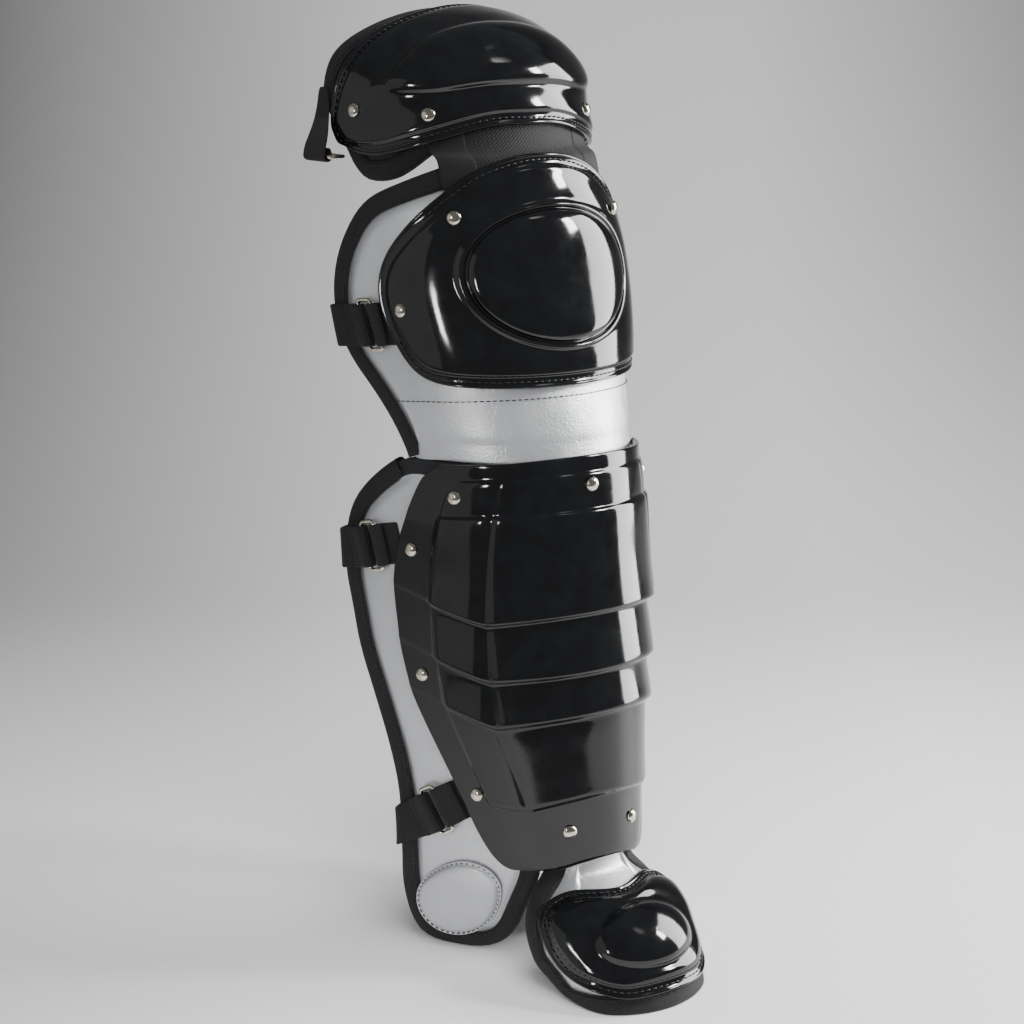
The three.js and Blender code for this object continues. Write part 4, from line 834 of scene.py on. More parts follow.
# Shin shell rows: half width; height at the front line, at the side crease and at the edge; raise
SHIN_ROWS = [
    (0.97, 0.711, 0.706, 0.699, -0.2), (0.985, 0.709, 0.704, 0.697, 0.4), (1.10, 0.695, 0.690, 0.683, 0.2),
    (1.13, 0.690, 0.685, 0.677, -0.1), (1.145, 0.687, 0.682, 0.673, 1.6), (1.19, 0.679, 0.674, 0.660, 1.7),
    (1.265, 0.646, 0.641, 0.632, 1.8), (1.27, 0.643, 0.638, 0.628, 1.3), (1.28, 0.640, 0.635, 0.624, 3.2),
    (1.29, 0.636, 0.631, 0.619, 4.3), (1.36, 0.590, 0.584, 0.588, 4.2), (1.40, 0.545, 0.535, 0.556, 5.0),
    (1.415, 0.515, 0.502, 0.538, 7.0), (1.42, 0.509, 0.495, 0.533, 7.5), (1.42, 0.506, 0.492, 0.530, 7.0),
    (1.42, 0.503, 0.489, 0.527, 2.3), (1.42, 0.500, 0.486, 0.524, 2.0), (1.42, 0.488, 0.474, 0.508, 2.8),
    (1.41, 0.455, 0.443, 0.480, 5.0), (1.405, 0.434, 0.422, 0.461, 6.8), (1.405, 0.429, 0.417, 0.457, 7.0),
    (1.405, 0.426, 0.414, 0.454, 6.4), (1.40, 0.423, 0.411, 0.451, 2.0), (1.40, 0.420, 0.408, 0.448, 1.7),
    (1.39, 0.411, 0.398, 0.434, 2.3), (1.36, 0.388, 0.372, 0.407, 4.2), (1.345, 0.376, 0.358, 0.395, 5.7),
    (1.34, 0.371, 0.353, 0.390, 5.9), (1.335, 0.368, 0.350, 0.387, 5.2), (1.33, 0.365, 0.347, 0.384, 1.6),
    (1.325, 0.362, 0.344, 0.380, 1.4), (1.27, 0.345, 0.328, 0.355, 1.7), (1.15, 0.310, 0.296, 0.310, 1.8),
    (1.00, 0.268, 0.252, 0.254, 2.6), (0.975, 0.260, 0.242, 0.244, 3.0), (0.965, 0.257, 0.239, 0.241, 2.7),
    (0.955, 0.253, 0.235, 0.237, 0.7), (0.945, 0.250, 0.232, 0.233, 0.6), (0.88, 0.222, 0.206, 0.202, 0.9),
    (0.78, 0.190, 0.177, 0.169, 0.9), (0.70, 0.175, 0.163, 0.155, 0.8), (0.64, 0.168, 0.157, 0.150, 0.4),
    (0.60, 0.165, 0.154, 0.149, -0.2),
]
# columns: share of the half width, and of the row's raise there
SHIN_COLUMNS = [
    (0.0, 1.0), (0.08, 1.0), (0.16, 1.0), (0.24, 1.0), (0.32, 1.0), (0.40, 1.0), (0.455, 1.0), (0.48, 0.9),
    (0.50, 0.66), (0.52, 0.8), (0.545, 0.98), (0.60, 1.0), (0.66, 1.0), (0.72, 0.98), (0.755, 0.9),
    (0.775, 0.6), (0.79, 0.12), (0.82, 0.04), (0.88, 0.05), (0.94, 0.05), (0.985, 0.05), (1.0, 0.0),
]


def shin_point(share, row, weight, lift):
    side, mid, crease, edge, raise_ = row
    out = abs(share)
    inner = min(out / 0.5, 1)
    outer = max((out - 0.5) / 0.5, 0)
    height = mid + (crease - mid) * inner * inner + (edge - crease) * outer
    return leg(share * side * GIRTH, height * RISE, SHELL_STANDOFF + raise_ * weight + lift)


def make_shin_shell():
    columns = [(-share, weight) for share, weight in SHIN_COLUMNS[:0:-1]] + SHIN_COLUMNS

    def wall(lift):
        return np.array(
            [[shin_point(share, row, weight, lift) for share, weight in columns] for row in SHIN_ROWS]
        )

    piece = slab(wall(SHELL_WALL), wall(0.0)).make("shin_shell_dressed", [look("plastic")])
    return dress(piece, "shell_plastic", "shin_shell")


# Ankle discs, hinge, straps, tabs and rings
# the disc's centre on the leg, its radius and its thickness
DISC = (0.94 * GIRTH, 0.082 * RISE)
DISC_RADIUS = 32.0
DISC_THICK = 5.0
# share of the radius, and height as a share of the thickness
DISC_PROFILE = [
    (0.985, 0.0), (1.0, 0.1), (0.99, 0.32), (0.965, 0.4), (0.94, 0.32), (0.92, 0.34), (0.89, 0.62),
    (0.84, 0.86), (0.74, 1.12), (0.58, 1.34), (0.35, 1.5), (0.0, 1.56),
]


def disc_ring(way, share, lift):
    turn = np.linspace(0, 2 * math.pi, 48, endpoint=False)
    across = way * (DISC[0] + DISC_RADIUS * share * np.sin(turn))
    return leg(across, DISC[1] + DISC_RADIUS * share * np.cos(turn), lift)


def make_discs():
    for side, way in (("left", -1), ("right", 1)):
        skin = Skin()
        skin.grid(
            closed([disc_ring(way, share, WEB_GAP + DISC_THICK * high) for share, high in DISC_PROFILE])
        )
        skin.grid(closed([disc_ring(way, share, WEB_GAP) for share in (0.985, 0.5, 0.0)]))
        piece = skin.make(f"ankle_disc_{side}_dressed", [look("silver")])
        dress(piece, "padding_cover", f"ankle_disc_{side}")


HINGE_PATH = [
    (leg, 1.050 * RISE), (leg, 1.072 * RISE), (leg, 1.094 * RISE), (thigh, 0.00),
    (thigh, 0.08 * THIGH_LENGTH), (thigh, 0.16 * THIGH_LENGTH), (thigh, 0.20 * THIGH_LENGTH),
]


def make_hinge():
    web_from, tuck = 0.44 * GIRTH, 1.5
    top = WEB_GAP + WEB_THICK
    strips = [
        ("hinge_fabric", -tuck - web_from, web_from + tuck, 16, "twill", (top - 0.4, WEB_GAP)),
        ("hinge_web_right", web_from, web_from + WEB_WIDTH, 8, "webbing", (top, WEB_GAP + 0.2)),
        ("hinge_web_left", -web_from - WEB_WIDTH, -web_from, 8, "webbing", (top, WEB_GAP + 0.2)),
    ]
    for name, low, high, columns, finish, lifts in strips:
        across = np.linspace(low, high, columns + 1)
        face, back = (np.array([form(across, along, lift) for form, along in HINGE_PATH]) for lift in lifts)
        run = lengths_along(face[:, columns // 2])
        weave = np.stack(np.meshgrid(run, across * MM, indexing="ij"), -1)
        piece = slab(face, back, weave).make(f"{name}_dressed", [look(finish)])
        dress(piece, "webbing", name)


WIRE = RING_WIRE / 2
BAR_REACH = RING_LENGTH / 2 - WIRE
STRAPS = {
    "knee": dict(across=1.34 * GIRTH, along=0.874 * RISE, edge=1.70 * GIRTH, shell=1.215 * GIRTH, slant=6),
    "upper": dict(across=1.585 * GIRTH, along=0.575 * RISE, edge=1.90 * GIRTH, shell=1.45 * GIRTH, slant=12),
    "lower": dict(across=1.17 * GIRTH, along=0.216 * RISE, edge=1.53 * GIRTH, shell=0.98 * GIRTH, slant=29),
}


def sizes():
    return bpy.context.scene.legguard_sizes


def ring_lift():
    return WEB_GAP + sizes().strap_thick / MM + FOLD_CLEAR + WIRE


def strap_point(strap, run, wide, lift, upright=0.0):
    slant = math.radians(strap["slant"])
    tall = math.cos(slant) + (1 - math.cos(slant)) * upright
    return leg(
        strap["across"] + run * math.cos(slant) + wide * math.sin(slant) * (1 - upright),
        strap["along"] - run * math.sin(slant) + wide * tall,
        lift,
    )


def band_section(width, thick):
    """Cross-section of webbing: rounded edges, and a slightly raised selvedge on each side."""
    w, t = width / 2, thick / 2
    return [
        (w, 0.0), (w - 0.3 * t, 0.8 * t), (w - 1.6, t * 1.08), (w - 3.0, t * 0.92), (0.0, t),
        (-w + 3.0, t * 0.92),
        (-w + 1.6, t * 1.08), (-w + 0.3 * t, 0.8 * t), (-w, 0.0), (-w + 0.3 * t, -0.8 * t),
        (-w + 1.6, -t * 1.08),
        (0.0, -t), (w - 1.6, -t * 1.08), (w - 0.3 * t, -0.8 * t),
    ]


def ribbon(place, path, width, thick):
    """Sections of a band through (run, lift, upright) points, laid along the path's own normal."""
    sections = []
    for i, here in enumerate(path):
        r0, l0 = path[max(i - 1, 0)][:2]
        r1, l1 = path[min(i + 1, len(path) - 1)][:2]
        size = math.hypot(r1 - r0, l1 - l0)
        nr, nl = -(l1 - l0) / size, (r1 - r0) / size
        upright = here[2] if len(here) > 2 else 0.0
        sections.append(
            [place(here[0] + nr * t, w, here[1] + nl * t, upright) for w, t in band_section(width, thick)]
        )
    return np.array(sections)


def smooth_path(path, steps):
    """More points on a smooth line through (run, lift, upright) points."""
    points = np.array([list(p) + [0.0] * (3 - len(p)) for p in path], float)
    padded = np.concatenate([2 * points[:1] - points[1:2], points, 2 * points[-1:] - points[-2:-1]])
    made = []
    for i in range(len(points) - 1):
        p0, p1, p2, p3 = padded[i : i + 4]
        curve = 2 * p0 - 5 * p1 + 4 * p2 - p3
        twist = 3 * p1 - p0 - 3 * p2 + p3
        for k in range(steps):
            t = k / steps
            made.append(0.5 * (2 * p1 + (p2 - p0) * t + curve * t * t + twist * t**3))
    made.append(points[-1])
    return [tuple(p) for p in made]


def fold(bar, towards, thick):
    radius = WIRE + FOLD_CLEAR + thick / 2
    turns = np.linspace(0, math.pi, 9)
    return [(bar - towards * radius * math.sin(a), ring_lift() + radius * math.cos(a)) for a in turns]


def make_band(name, sections, finish="webbing", slot="webbing", levels=1, ends=True):
    """One piece through the sections of a band or a wire."""
    skin = Skin()
    sections = np.asarray(sections)
    run = lengths_along(sections.mean(1))
    rings = np.concatenate([sections, sections[:, :1]], 1)
    around = lengths_along(rings[len(rings) // 2])
    skin.grid(rings, weave=np.stack(np.meshgrid(run, around, indexing="ij"), -1))
    if ends:
        skin.cap(sections[0])
        skin.cap(sections[-1])
    dress(skin.make(f"{name}_dressed", [look(finish)], levels=levels), slot, name)


def mirrored(points, way):
    return np.asarray(points) * ((-1, 1, 1) if way < 0 else (1, 1, 1))


def strap_sections(strap):
    width, thick = sizes().strap_width / MM, sizes().strap_thick / MM
    bow = sizes().strap_bow
    bar, lift = BAR_REACH, ring_lift()
    flat = WEB_GAP + thick / 2
    rise = [
        (bar + 13, flat + thick + FOLD_CLEAR), (bar + 8, flat + thick + 1.3), (bar + WIRE * 3, lift + WIRE),
    ]
    path = smooth_path(rise, 3)[:-1]
    path += [(bar + WIRE * 3, lift + WIRE, 0.0)] + [p + (0.0,) for p in fold(bar, 1, thick)]
    hub = (strap["edge"] - strap["across"]) / math.cos(math.radians(strap["slant"])) - PAD_THICK * 0.55
    round_ = PAD_THICK / 2 + flat
    before, after = leg(strap["edge"] - 1, strap["along"]), leg(strap["edge"] + 1, strap["along"])
    heading = math.atan2(after[1] - before[1], after[0] - before[0])
    turn = math.pi - bow - heading
    path += [(bar + (hub - bar) * k / 5, flat, max(0, (k - 2) / 3)) for k in (1, 2, 3, 4)]
    for a in np.linspace(0, turn, 10):
        path.append((hub + round_ * math.sin(a), round_ * math.cos(a) - PAD_THICK / 2, 1.0))
    sections = list(ribbon(lambda r, w, l, u: strap_point(strap, r, w, l, u), path, width, thick))
    last = sections[-1]
    centre = Vector(last.mean(0))
    high = (Vector(last[0]) - Vector(last[8])).normalized()
    way = high.cross(Vector(last[4]) - Vector(last[11])).normalized()
    if way.x > 0:
        way.negate()
    reach = centre.x
    middle = Vector((0, centre.y + reach * math.tan(bow / 2), centre.z))
    handles = (centre, centre + way * reach * 0.4, middle + Vector((reach * 0.45, 0, 0)), middle)
    steps = 16
    for i in range(1, steps + 1):
        t = i / steps
        a, b, c, d = handles
        p = a * (1 - t) ** 3 + b * 3 * t * (1 - t) ** 2 + c * 3 * t * t * (1 - t) + d * t**3
        run = (b - a) * 3 * (1 - t) ** 2 + (c - b) * 6 * t * (1 - t) + (d - c) * 3 * t * t
        run = Vector((-1, 0, 0)) if i == steps else run.normalized()
        up = high.lerp(Vector((0, 0, 1)), t)
        out = run.cross(up).normalized()
        tall = out.cross(run).normalized()
        sections.append(
            np.array([p + tall * (w * MM) + out * (k * MM) for w, k in band_section(width, thick)])
        )
    return np.array(sections)


def make_straps():
    for name, strap in STRAPS.items():
        half = strap_sections(strap)
        whole = np.concatenate([half, mirrored(half[:-1][::-1], -1)])
        make_band(f"strap_{name}", whole, "elastic")


def tab_sections(strap):
    width = sizes().strap_width / MM
    low = WEB_GAP + WEB_THICK / 2
    bar, lift = -BAR_REACH, ring_lift()
    shell = -(strap["across"] - strap["shell"]) / math.cos(math.radians(strap["slant"]))
    path = [(shell - 10, low), ((shell + bar) / 2, low + 0.1), (bar - 2 * WIRE, low + FOLD_CLEAR)]
    path += fold(bar, -1, WEB_THICK)[::-1]
    path += [(bar - WIRE * 1.5, lift + WIRE * 1.4), (shell + 1.5, low + WEB_THICK + 2 * FOLD_CLEAR)]
    return ribbon(lambda r, w, l, u: strap_point(strap, r, w, l), path, width, WEB_THICK)


THIGH_BAR = (1.065 * THIGH_GIRTH, THIGH_FRONT + 0.92 * THIGH_DEPTH + FORWARD, THIGH_FOOT - 0.045 * THIGH_RISE)


def thigh_tab_sections():
    width = sizes().strap_width / MM
    low = WEB_GAP + WEB_THICK / 2
    sections = []
    for rear, front in (
        ((1.19, 0.94), (1.15, 0.85)), ((1.25, 0.94), (1.185, 0.805)), ((1.31, 0.94), (1.22, 0.76)),
    ):
        rows = []
        half = width / 2
        for w, t in band_section(width, WEB_THICK):
            share = (w / half + 1) / 2
            across = (front[0] + (rear[0] - front[0]) * share) * THIGH_GIRTH
            along = (front[1] + (rear[1] - front[1]) * share) * THIGH_LENGTH
            rows.append(thigh(across, along, low + t))
        sections.append(rows)
    radius = WIRE + FOLD_CLEAR + WEB_THICK / 2
    path = [(-0.7 * radius, 5.2 * radius, 0.85), (0.6 * radius, 2.4 * radius, 1.0)]
    path += [(radius * math.cos(a), -radius * math.sin(a), 1.0) for a in np.linspace(0, math.pi, 9)]
    path += [(-0.9 * radius, 2 * radius, 1.0)]
    for i, (x, z, share) in enumerate(path):
        x0, z0, _ = path[max(i - 1, 0)]
        x1, z1, _ = path[min(i + 1, len(path) - 1)]
        size = math.hypot(x1 - x0, z1 - z0)
        nx, nz = -(z1 - z0) / size, (x1 - x0) / size
        sections.append([
            np.array([THIGH_BAR[0] + x + nx * t, THIGH_BAR[1] + w * share, THIGH_BAR[2] + z + nz * t]) * MM
            for w, t in [(w, -t) for w, t in band_section(width, WEB_THICK)]
        ])
    return np.array(sections)


def ring_sections(place):
    half = sizes().strap_width / MM / 2 + 0.8 + WIRE
    bend, sides = 2.5, 12
    sections = []
    for corner, (a, b) in enumerate(((1, 1), (-1, 1), (-1, -1), (1, -1))):
        for i in range(6):
            turn = math.pi / 2 * (corner + i / 5)
            c, s = math.cos(turn), math.sin(turn)
            run, wide = a * (BAR_REACH - bend) + bend * c, b * (half - bend) + bend * s
            sections.append([
                place(
                    run + WIRE * math.cos(k) * c, wide + WIRE * math.cos(k) * s,
                    ring_lift() + WIRE * math.sin(k),
                )
                for k in np.linspace(0, 2 * math.pi, sides, endpoint=False)
            ])
    sections.append(sections[0])
    return np.array(sections)


def level_point(run, wide, lift):
    """A point of the thigh cap's ring, which hangs level with the floor."""
    across = THIGH_BAR[0] - BAR_REACH + run
    return np.array([across, THIGH_BAR[1] + wide, THIGH_BAR[2] + lift - ring_lift()]) * MM


def make_tabs_and_rings():
    for side, way in (("left", -1), ("right", 1)):
        fittings = []
        for name, strap in STRAPS.items():
            wire = ring_sections(lambda run, wide, lift: strap_point(strap, run, wide, lift))
            fittings.append((name, tab_sections(strap), wire))
        fittings.append(("thigh", thigh_tab_sections(), ring_sections(level_point)))
        for name, tab, wire in fittings:
            make_band(f"tab_{name}_{side}", mirrored(tab, way))
            make_band(
                f"ring_{name}_{side}", mirrored(wire, way), "metal", "bright_metal", levels=0, ends=False,
            )


# Rivets
RIVETS = {
    "knee_upper": (leg, 0.63 * GIRTH, 1.018 * RISE), "knee_lower": (leg, 1.04 * GIRTH, 0.898 * RISE),
    "shin_top": (leg, 0.0, 0.674 * RISE), "shin_upper": (leg, 0.88 * GIRTH, 0.658 * RISE),
    "shin_side": (leg, 1.24 * GIRTH, 0.580 * RISE), "shin_lower": (leg, 1.22 * GIRTH, 0.408 * RISE),
    "shin_ankle": (leg, 0.84 * GIRTH, 0.250 * RISE), "shin_band": (leg, 0.24 * GIRTH, 0.208 * RISE),
    "thigh_side": (thigh, 1.08 * THIGH_GIRTH, 0.41 * THIGH_LENGTH),
    "thigh_front": (thigh, 0.64 * THIGH_GIRTH, 0.20 * THIGH_LENGTH),
}
RIVET_PROFILE = [
    (0.0, 1.0), (0.3, 0.97), (0.6, 0.82), (0.85, 0.52), (0.97, 0.2), (1.0, 0.0), (0.97, -0.12), (0.6, -0.3),
    (0.0, -0.3),
]
RIVET_HEIGHT = 2.8
RIVET_SIDES = 24


def make_rivet(node_name, form, across, along):
    low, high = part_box(node_name)
    centre = (low + high) / 2
    foot, tip = Vector(form(across, along, 0)), Vector(form(across, along, 1))
    axis = (tip - foot).normalized()
    radius, height = sizes().rivet_radius, RIVET_HEIGHT * MM
    base = centre - axis * height * 0.5
    bpy.ops.object.select_all(action="DESELECT")
    rows = len(RIVET_PROFILE) - 1
    bpy.ops.mesh.primitive_grid_add(x_subdivisions=RIVET_SIDES, y_subdivisions=rows, size=1, calc_uvs=False)
    piece = bpy.context.active_object
    piece.name = f"{node_name}_dressed"
    piece.data.name = piece.name
    turn = Vector((0, 0, 1)).rotation_difference(axis)
    for index, vertex in enumerate(piece.data.vertices):
        row, column = divmod(index, RIVET_SIDES + 1)
        out, up = RIVET_PROFILE[row]
        angle = 2 * math.pi * (column % RIVET_SIDES) / RIVET_SIDES
        local = Vector((out * radius * math.cos(angle), out * radius * math.sin(angle), up * height))
        vertex.co = base + turn @ local
    weld(piece, dissolve=False)
    bpy.ops.object.shade_smooth_by_angle(angle=math.radians(50))
    piece.location = (0, 0, 0)
    piece.data.materials.append(look("metal"))
    dress(piece, "bright_metal", node_name)


def make_rivets():
    for name, (form, across, along) in RIVETS.items():
        if across == 0:
            make_rivet(f"rivet_{name}", form, across, along)
        else:
            make_rivet(f"rivet_{name}_left", form, -across, along)
            make_rivet(f"rivet_{name}_right", form, across, along)


# Stitching
def stitches(name, lines, spacing=4.6, length=3.4, girth=0.45):
    """One piece of many short stitches along lines of (points, normals) in metres."""
    ring, ends = 6, 3
    points, faces = [], []
    for path, normals in lines:
        run = lengths_along(path) / MM
        count = int(run[-1] // spacing)
        for i in range(count):
            spots = [(i + 0.5) * spacing + shift for shift in np.linspace(-length / 2, length / 2, ends + 1)]
            spine = np.stack([np.interp(spots, run, path[:, c]) for c in range(3)], -1)
            up = np.stack([np.interp(spots, run, normals[:, c]) for c in range(3)], -1)
            up /= np.linalg.norm(up, axis=1)[:, None]
            ahead = spine[-1] - spine[0]
            ahead /= np.linalg.norm(ahead)
            base = len(points)
            for k in range(ends + 1):
                thick = girth * (0.55 if k in (0, ends) else 1.0) * MM
                sink = (-0.25 if k in (0, ends) else 0.15) * MM
                side = np.cross(ahead, up[k])
                for a in np.linspace(0, 2 * math.pi, ring, endpoint=False):
                    points.append(
                        spine[k] + up[k] * (sink + thick * math.cos(a)) + side * thick * math.sin(a)
                    )
            for k in range(ends):
                for j in range(ring):
                    n = (j + 1) % ring
                    near = base + k * ring
                    faces.append((near + j, near + n, near + ring + n, near + ring + j))
            faces.append(tuple(base + j for j in range(ring))[::-1])
            faces.append(tuple(base + ends * ring + j for j in range(ring)))
    mesh = bpy.data.meshes.new(name)
    mesh.from_pydata([tuple(p) for p in points], [], faces)
    mesh.materials.append(look("thread"))
    piece = bpy.data.objects.new(name, mesh)
    bpy.context.scene.collection.objects.link(piece)
    weld(piece, merge=False, dissolve=False)
    bpy.ops.object.shade_smooth_by_angle(angle=math.radians(60))
    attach(piece, "root")
    return piece


def line_on(form, loop, lift):
    """A line over a form and the form's outward direction along it, for stitches."""
    path, above = lay(form, loop, lift), lay(form, loop, lift + 1)
    return path, (above - path) / MM


def make_stitching():
    wall = SHELL_STANDOFF + SHELL_WALL
    lines = []
    # each shell's edge in stations, and which runs of them are sewn
    for form, table, girth, length, half, lift, parts in (
        (leg, KNEE_SHELL, GIRTH, RISE, 60, wall, ((-17, 17), (36, 84))),
        (thigh, THIGH_SHELL, THIGH_GIRTH, THIGH_LENGTH, 60, wall, ((0, 120),)),
        (toe, TOE_SHELL, TOE_GIRTH, TOE_LENGTH, 40, TOE_STANDOFF + SHELL_WALL, ((0, 80),)),
    ):
        loop = grow(form, outline(table, girth, length, [half]), -FLANGE * 0.5)
        for first, last in parts:
            lines.append(line_on(form, stretch_of(loop, first, last), lift + 0.05))
    stitches("shell_stitching", lines)
    lines = []
    for name, (form, _, _, _, _, _) in PADS.items():
        loop = grow(form, pad_loop(name), -TAPE_WIDTH + 3.0, ease=0.06)
        if name in TAPED:
            first, last = TAPED[name]
            sewn = stretch_of(loop, first + 1, last - 1)
        else:
            sewn = closed([loop])[0]
        lines.append(line_on(form, sewn, -PINCH + TAPE_GAP + TAPE_THICK + 0.25))
    stitches("binding_stitching", lines, spacing=3.8, length=2.8, girth=0.35)
    turn = np.linspace(0, 2 * math.pi, 97)
    seam_radius = DISC_RADIUS - 1.8
    lines = []
    for way in (-1, 1):
        ring = np.stack(
            [way * (DISC[0] + seam_radius * np.sin(turn)), DISC[1] + seam_radius * np.cos(turn)], -1,
        )
        lines.append(line_on(leg, ring, WEB_GAP + 1.75))
    # the seam over the flex band dips towards its ends
    seam_reach, seam_along, seam_dip = 1.28 * GIRTH, 0.786 * RISE, 6.0
    across = np.linspace(-seam_reach, seam_reach, 120)
    seam = np.stack([across, seam_along - seam_dip * (across / seam_reach) ** 2], -1)
    lines.append(line_on(leg, seam, 1.2))
    stitches("padding_stitching", lines, spacing=4.2, length=3.0, girth=0.4)


# Stage
# the camera's turn and pitch in degrees, its place and the paper's sizes in metres
CAMERA_TURN = -35
CAMERA_PITCH = 13.3
CAMERA_BACK = 1.428
CAMERA_ASIDE = -0.009
CAMERA_HEIGHT = 0.641
CAMERA_LENS = 75
CAMERA_SENSOR = 36
PAPER_FRONT = -0.6
PAPER_BEND_START = 0.9
PAPER_BEND = 1.6
PAPER_HEIGHT = 4.0
PAPER_HALF_WIDTH = 4.0


def make_stage():
    scene = bpy.context.scene
    light = scene.legguard_stage
    bpy.ops.object.select_all(action="DESELECT")
    azimuth = math.radians(CAMERA_TURN)
    back = Vector((math.sin(azimuth), -math.cos(azimuth), 0))
    right = Vector((math.cos(azimuth), math.sin(azimuth), 0))
    # seamless paper: floor, a wide bend and a wall, square to the camera
    profile = [(PAPER_FRONT, 0.0), (0.3, 0.0), (PAPER_BEND_START, 0.0)]
    for a in np.linspace(0.05, math.pi / 2, 24):
        profile.append((PAPER_BEND_START + PAPER_BEND * math.sin(a), PAPER_BEND - PAPER_BEND * math.cos(a)))
    profile.append((PAPER_BEND_START + PAPER_BEND, PAPER_HEIGHT))
    bpy.ops.mesh.primitive_grid_add(x_subdivisions=1, y_subdivisions=len(profile) - 1, size=1)
    paper = bpy.context.active_object
    paper.name = "studio_paper"
    for index, vertex in enumerate(paper.data.vertices):
        row, column = divmod(index, 2)
        deep, up = profile[row]
        vertex.co = -back * deep + right * (2 * column - 1) * PAPER_HALF_WIDTH + Vector((0, 0, up))
    bpy.ops.object.shade_smooth()
    # the paper gets painted light by the object and painted shade to the sides and back
    paper.data.materials.append(painted_paper("studio_paper", light.paper, light.paper_painted_light))
    scene.world = scene.world or bpy.data.worlds.new("studio")
    scene.world.use_nodes = True
    background = scene.world.node_tree.nodes["Background"]
    background.inputs["Color"].default_value = (0.82, 0.84, 0.86, 1)
    background.inputs["Strength"].default_value = light.fill

    def lamp(name, degrees, distance, height, size, power, aim=0.33):
        bpy.ops.object.light_add(type="AREA", location=(0, 0, 0))
        made = bpy.context.active_object
        made.name = name
        made.data.shape = "RECTANGLE"
        made.data.size, made.data.size_y = size
        made.data.energy = power
        turn = math.radians(degrees)
        place = Vector((math.sin(turn), -math.cos(turn), 0)) * distance + Vector((0, 0, height))
        made.location = place
        made.rotation_euler = (Vector((0, 0.02, aim)) - place).to_track_quat("-Z", "Y").to_euler()
        return made

    lamp("side_right", 72, 1.7, 0.75, (0.8, 1.5), light.side)
    lamp("window", 52, 1.5, 1.25, (0.24, 0.38), light.window, 0.4)
    lamp("card_left", -98, 1.9, 0.8, (2.0, 1.8), light.card)
    lamp("glint_left", -62, 1.6, 0.62, (0.1, 0.26), light.glint, 0.4)
    # these two light only what is matt, so that no shape of them shows in the gloss
    lamp("key", -15, 0.9, 2.4, (1.4, 1.4), light.key, 0.3).visible_glossy = False
    lamp("front", -22, 2.1, 1.0, (1.6, 1.6), light.front, 0.3).visible_glossy = False
    bpy.ops.object.light_add(type="SPOT", location=back * 0.4 + right * 1.3 + Vector((0, 0, 2.6)))
    spot = bpy.context.active_object
    spot.name = "paper_spot"
    spot.data.energy = light.paper_spot
    spot.data.spot_size = math.radians(75)
    spot.data.spot_blend = 1.0
    spot.data.shadow_soft_size = 0.4
    goal = -back * 2.0 + right * 0.2 + Vector((0, 0, 0.4))
    spot.rotation_euler = (goal - spot.location).to_track_quat("-Z", "Y").to_euler()
    eye = back * CAMERA_BACK + right * CAMERA_ASIDE + Vector((0, FORWARD * MM, CAMERA_HEIGHT))
    pitch = math.radians(CAMERA_PITCH)
    ahead = -back * math.cos(pitch) + Vector((0, 0, -math.sin(pitch)))
    bpy.ops.object.camera_add(location=eye, rotation=ahead.to_track_quat("-Z", "Y").to_euler())
    camera = bpy.context.active_object
    camera.data.lens = CAMERA_LENS
    camera.data.sensor_width = CAMERA_SENSOR
    scene.camera = camera


# Panel values
class LegGuardSizes(bpy.types.PropertyGroup):
    """Sizes of the fittings that a user would change."""

    strap_width: bpy.props.FloatProperty(
        name="Strap width", description="Width of the elastic straps and their tabs", default=0.028,
        unit="LENGTH",
    )
    strap_thick: bpy.props.FloatProperty(
        name="Strap thickness", description="Thickness of the elastic straps", default=0.002, unit="LENGTH",
    )
    strap_bow: bpy.props.FloatProperty(
        name="Strap bow", description="Angle at which a strap leaves the wing", default=math.radians(28),
        subtype="ANGLE",
    )
    rivet_radius: bpy.props.FloatProperty(
        name="Rivet radius", description="Radius of the domed rivet heads", default=0.005, unit="LENGTH",
    )


class LegGuardColours(bpy.types.PropertyGroup):
    """Base colours, as sRGB hex."""

    plastic: bpy.props.StringProperty(
        name="Shells", description="Colour of the moulded shells", default="#070708",
    )
    silver: bpy.props.StringProperty(
        name="Cover", description="Colour of the padding's cover", default="#BEBFC1",
    )
    webbing: bpy.props.StringProperty(
        name="Webbing", description="Colour of bindings, tabs and straps", default="#060607",
    )
    metal: bpy.props.StringProperty(name="Metal", description="Colour of rings and rivets", default="#D9D4CA")


class LegGuardStage(bpy.types.PropertyGroup):
    """Studio paper and lights."""

    # the paper's own colour; the lighter colour is painted light by the object, and #707070 in the ramp is
    # painted shade at the sides and back
    paper: bpy.props.StringProperty(name="Paper", description="Darker colour of the paper", default="#B8B8B9")
    paper_painted_light: bpy.props.StringProperty(
        name="Paper light", description="Lighter colour of the paper", default="#D8D8D9",
    )
    fill: bpy.props.FloatProperty(
        name="Fill", description="Strength of the light from all round", default=0.2,
    )
    side: bpy.props.FloatProperty(
        name="Side", description="Power of the softbox on the right", default=66.0, unit="POWER",
    )
    window: bpy.props.FloatProperty(
        name="Window", description="Power of the small front light", default=26.0, unit="POWER",
    )
    key: bpy.props.FloatProperty(
        name="Key", description="Power of the softbox overhead", default=58.0, unit="POWER",
    )
    front: bpy.props.FloatProperty(
        name="Front", description="Power of the soft front light", default=45.0, unit="POWER",
    )
    card: bpy.props.FloatProperty(
        name="Card", description="Power of the reflector on the left", default=5.0, unit="POWER",
    )
    glint: bpy.props.FloatProperty(
        name="Glint", description="Power of the small light on the left", default=5.0, unit="POWER",
    )
    paper_spot: bpy.props.FloatProperty(
        name="Spot", description="Power of the spot on the paper", default=90.0, unit="POWER",
    )


# Operators
class LEGGUARD_OT_stage(bpy.types.Operator):
    """Lay the studio paper and set the lights and camera"""

    bl_idname = "legguard.stage"
    bl_label = "Stage"

    def execute(self, context):
        make_stage()
        return {"FINISHED"}


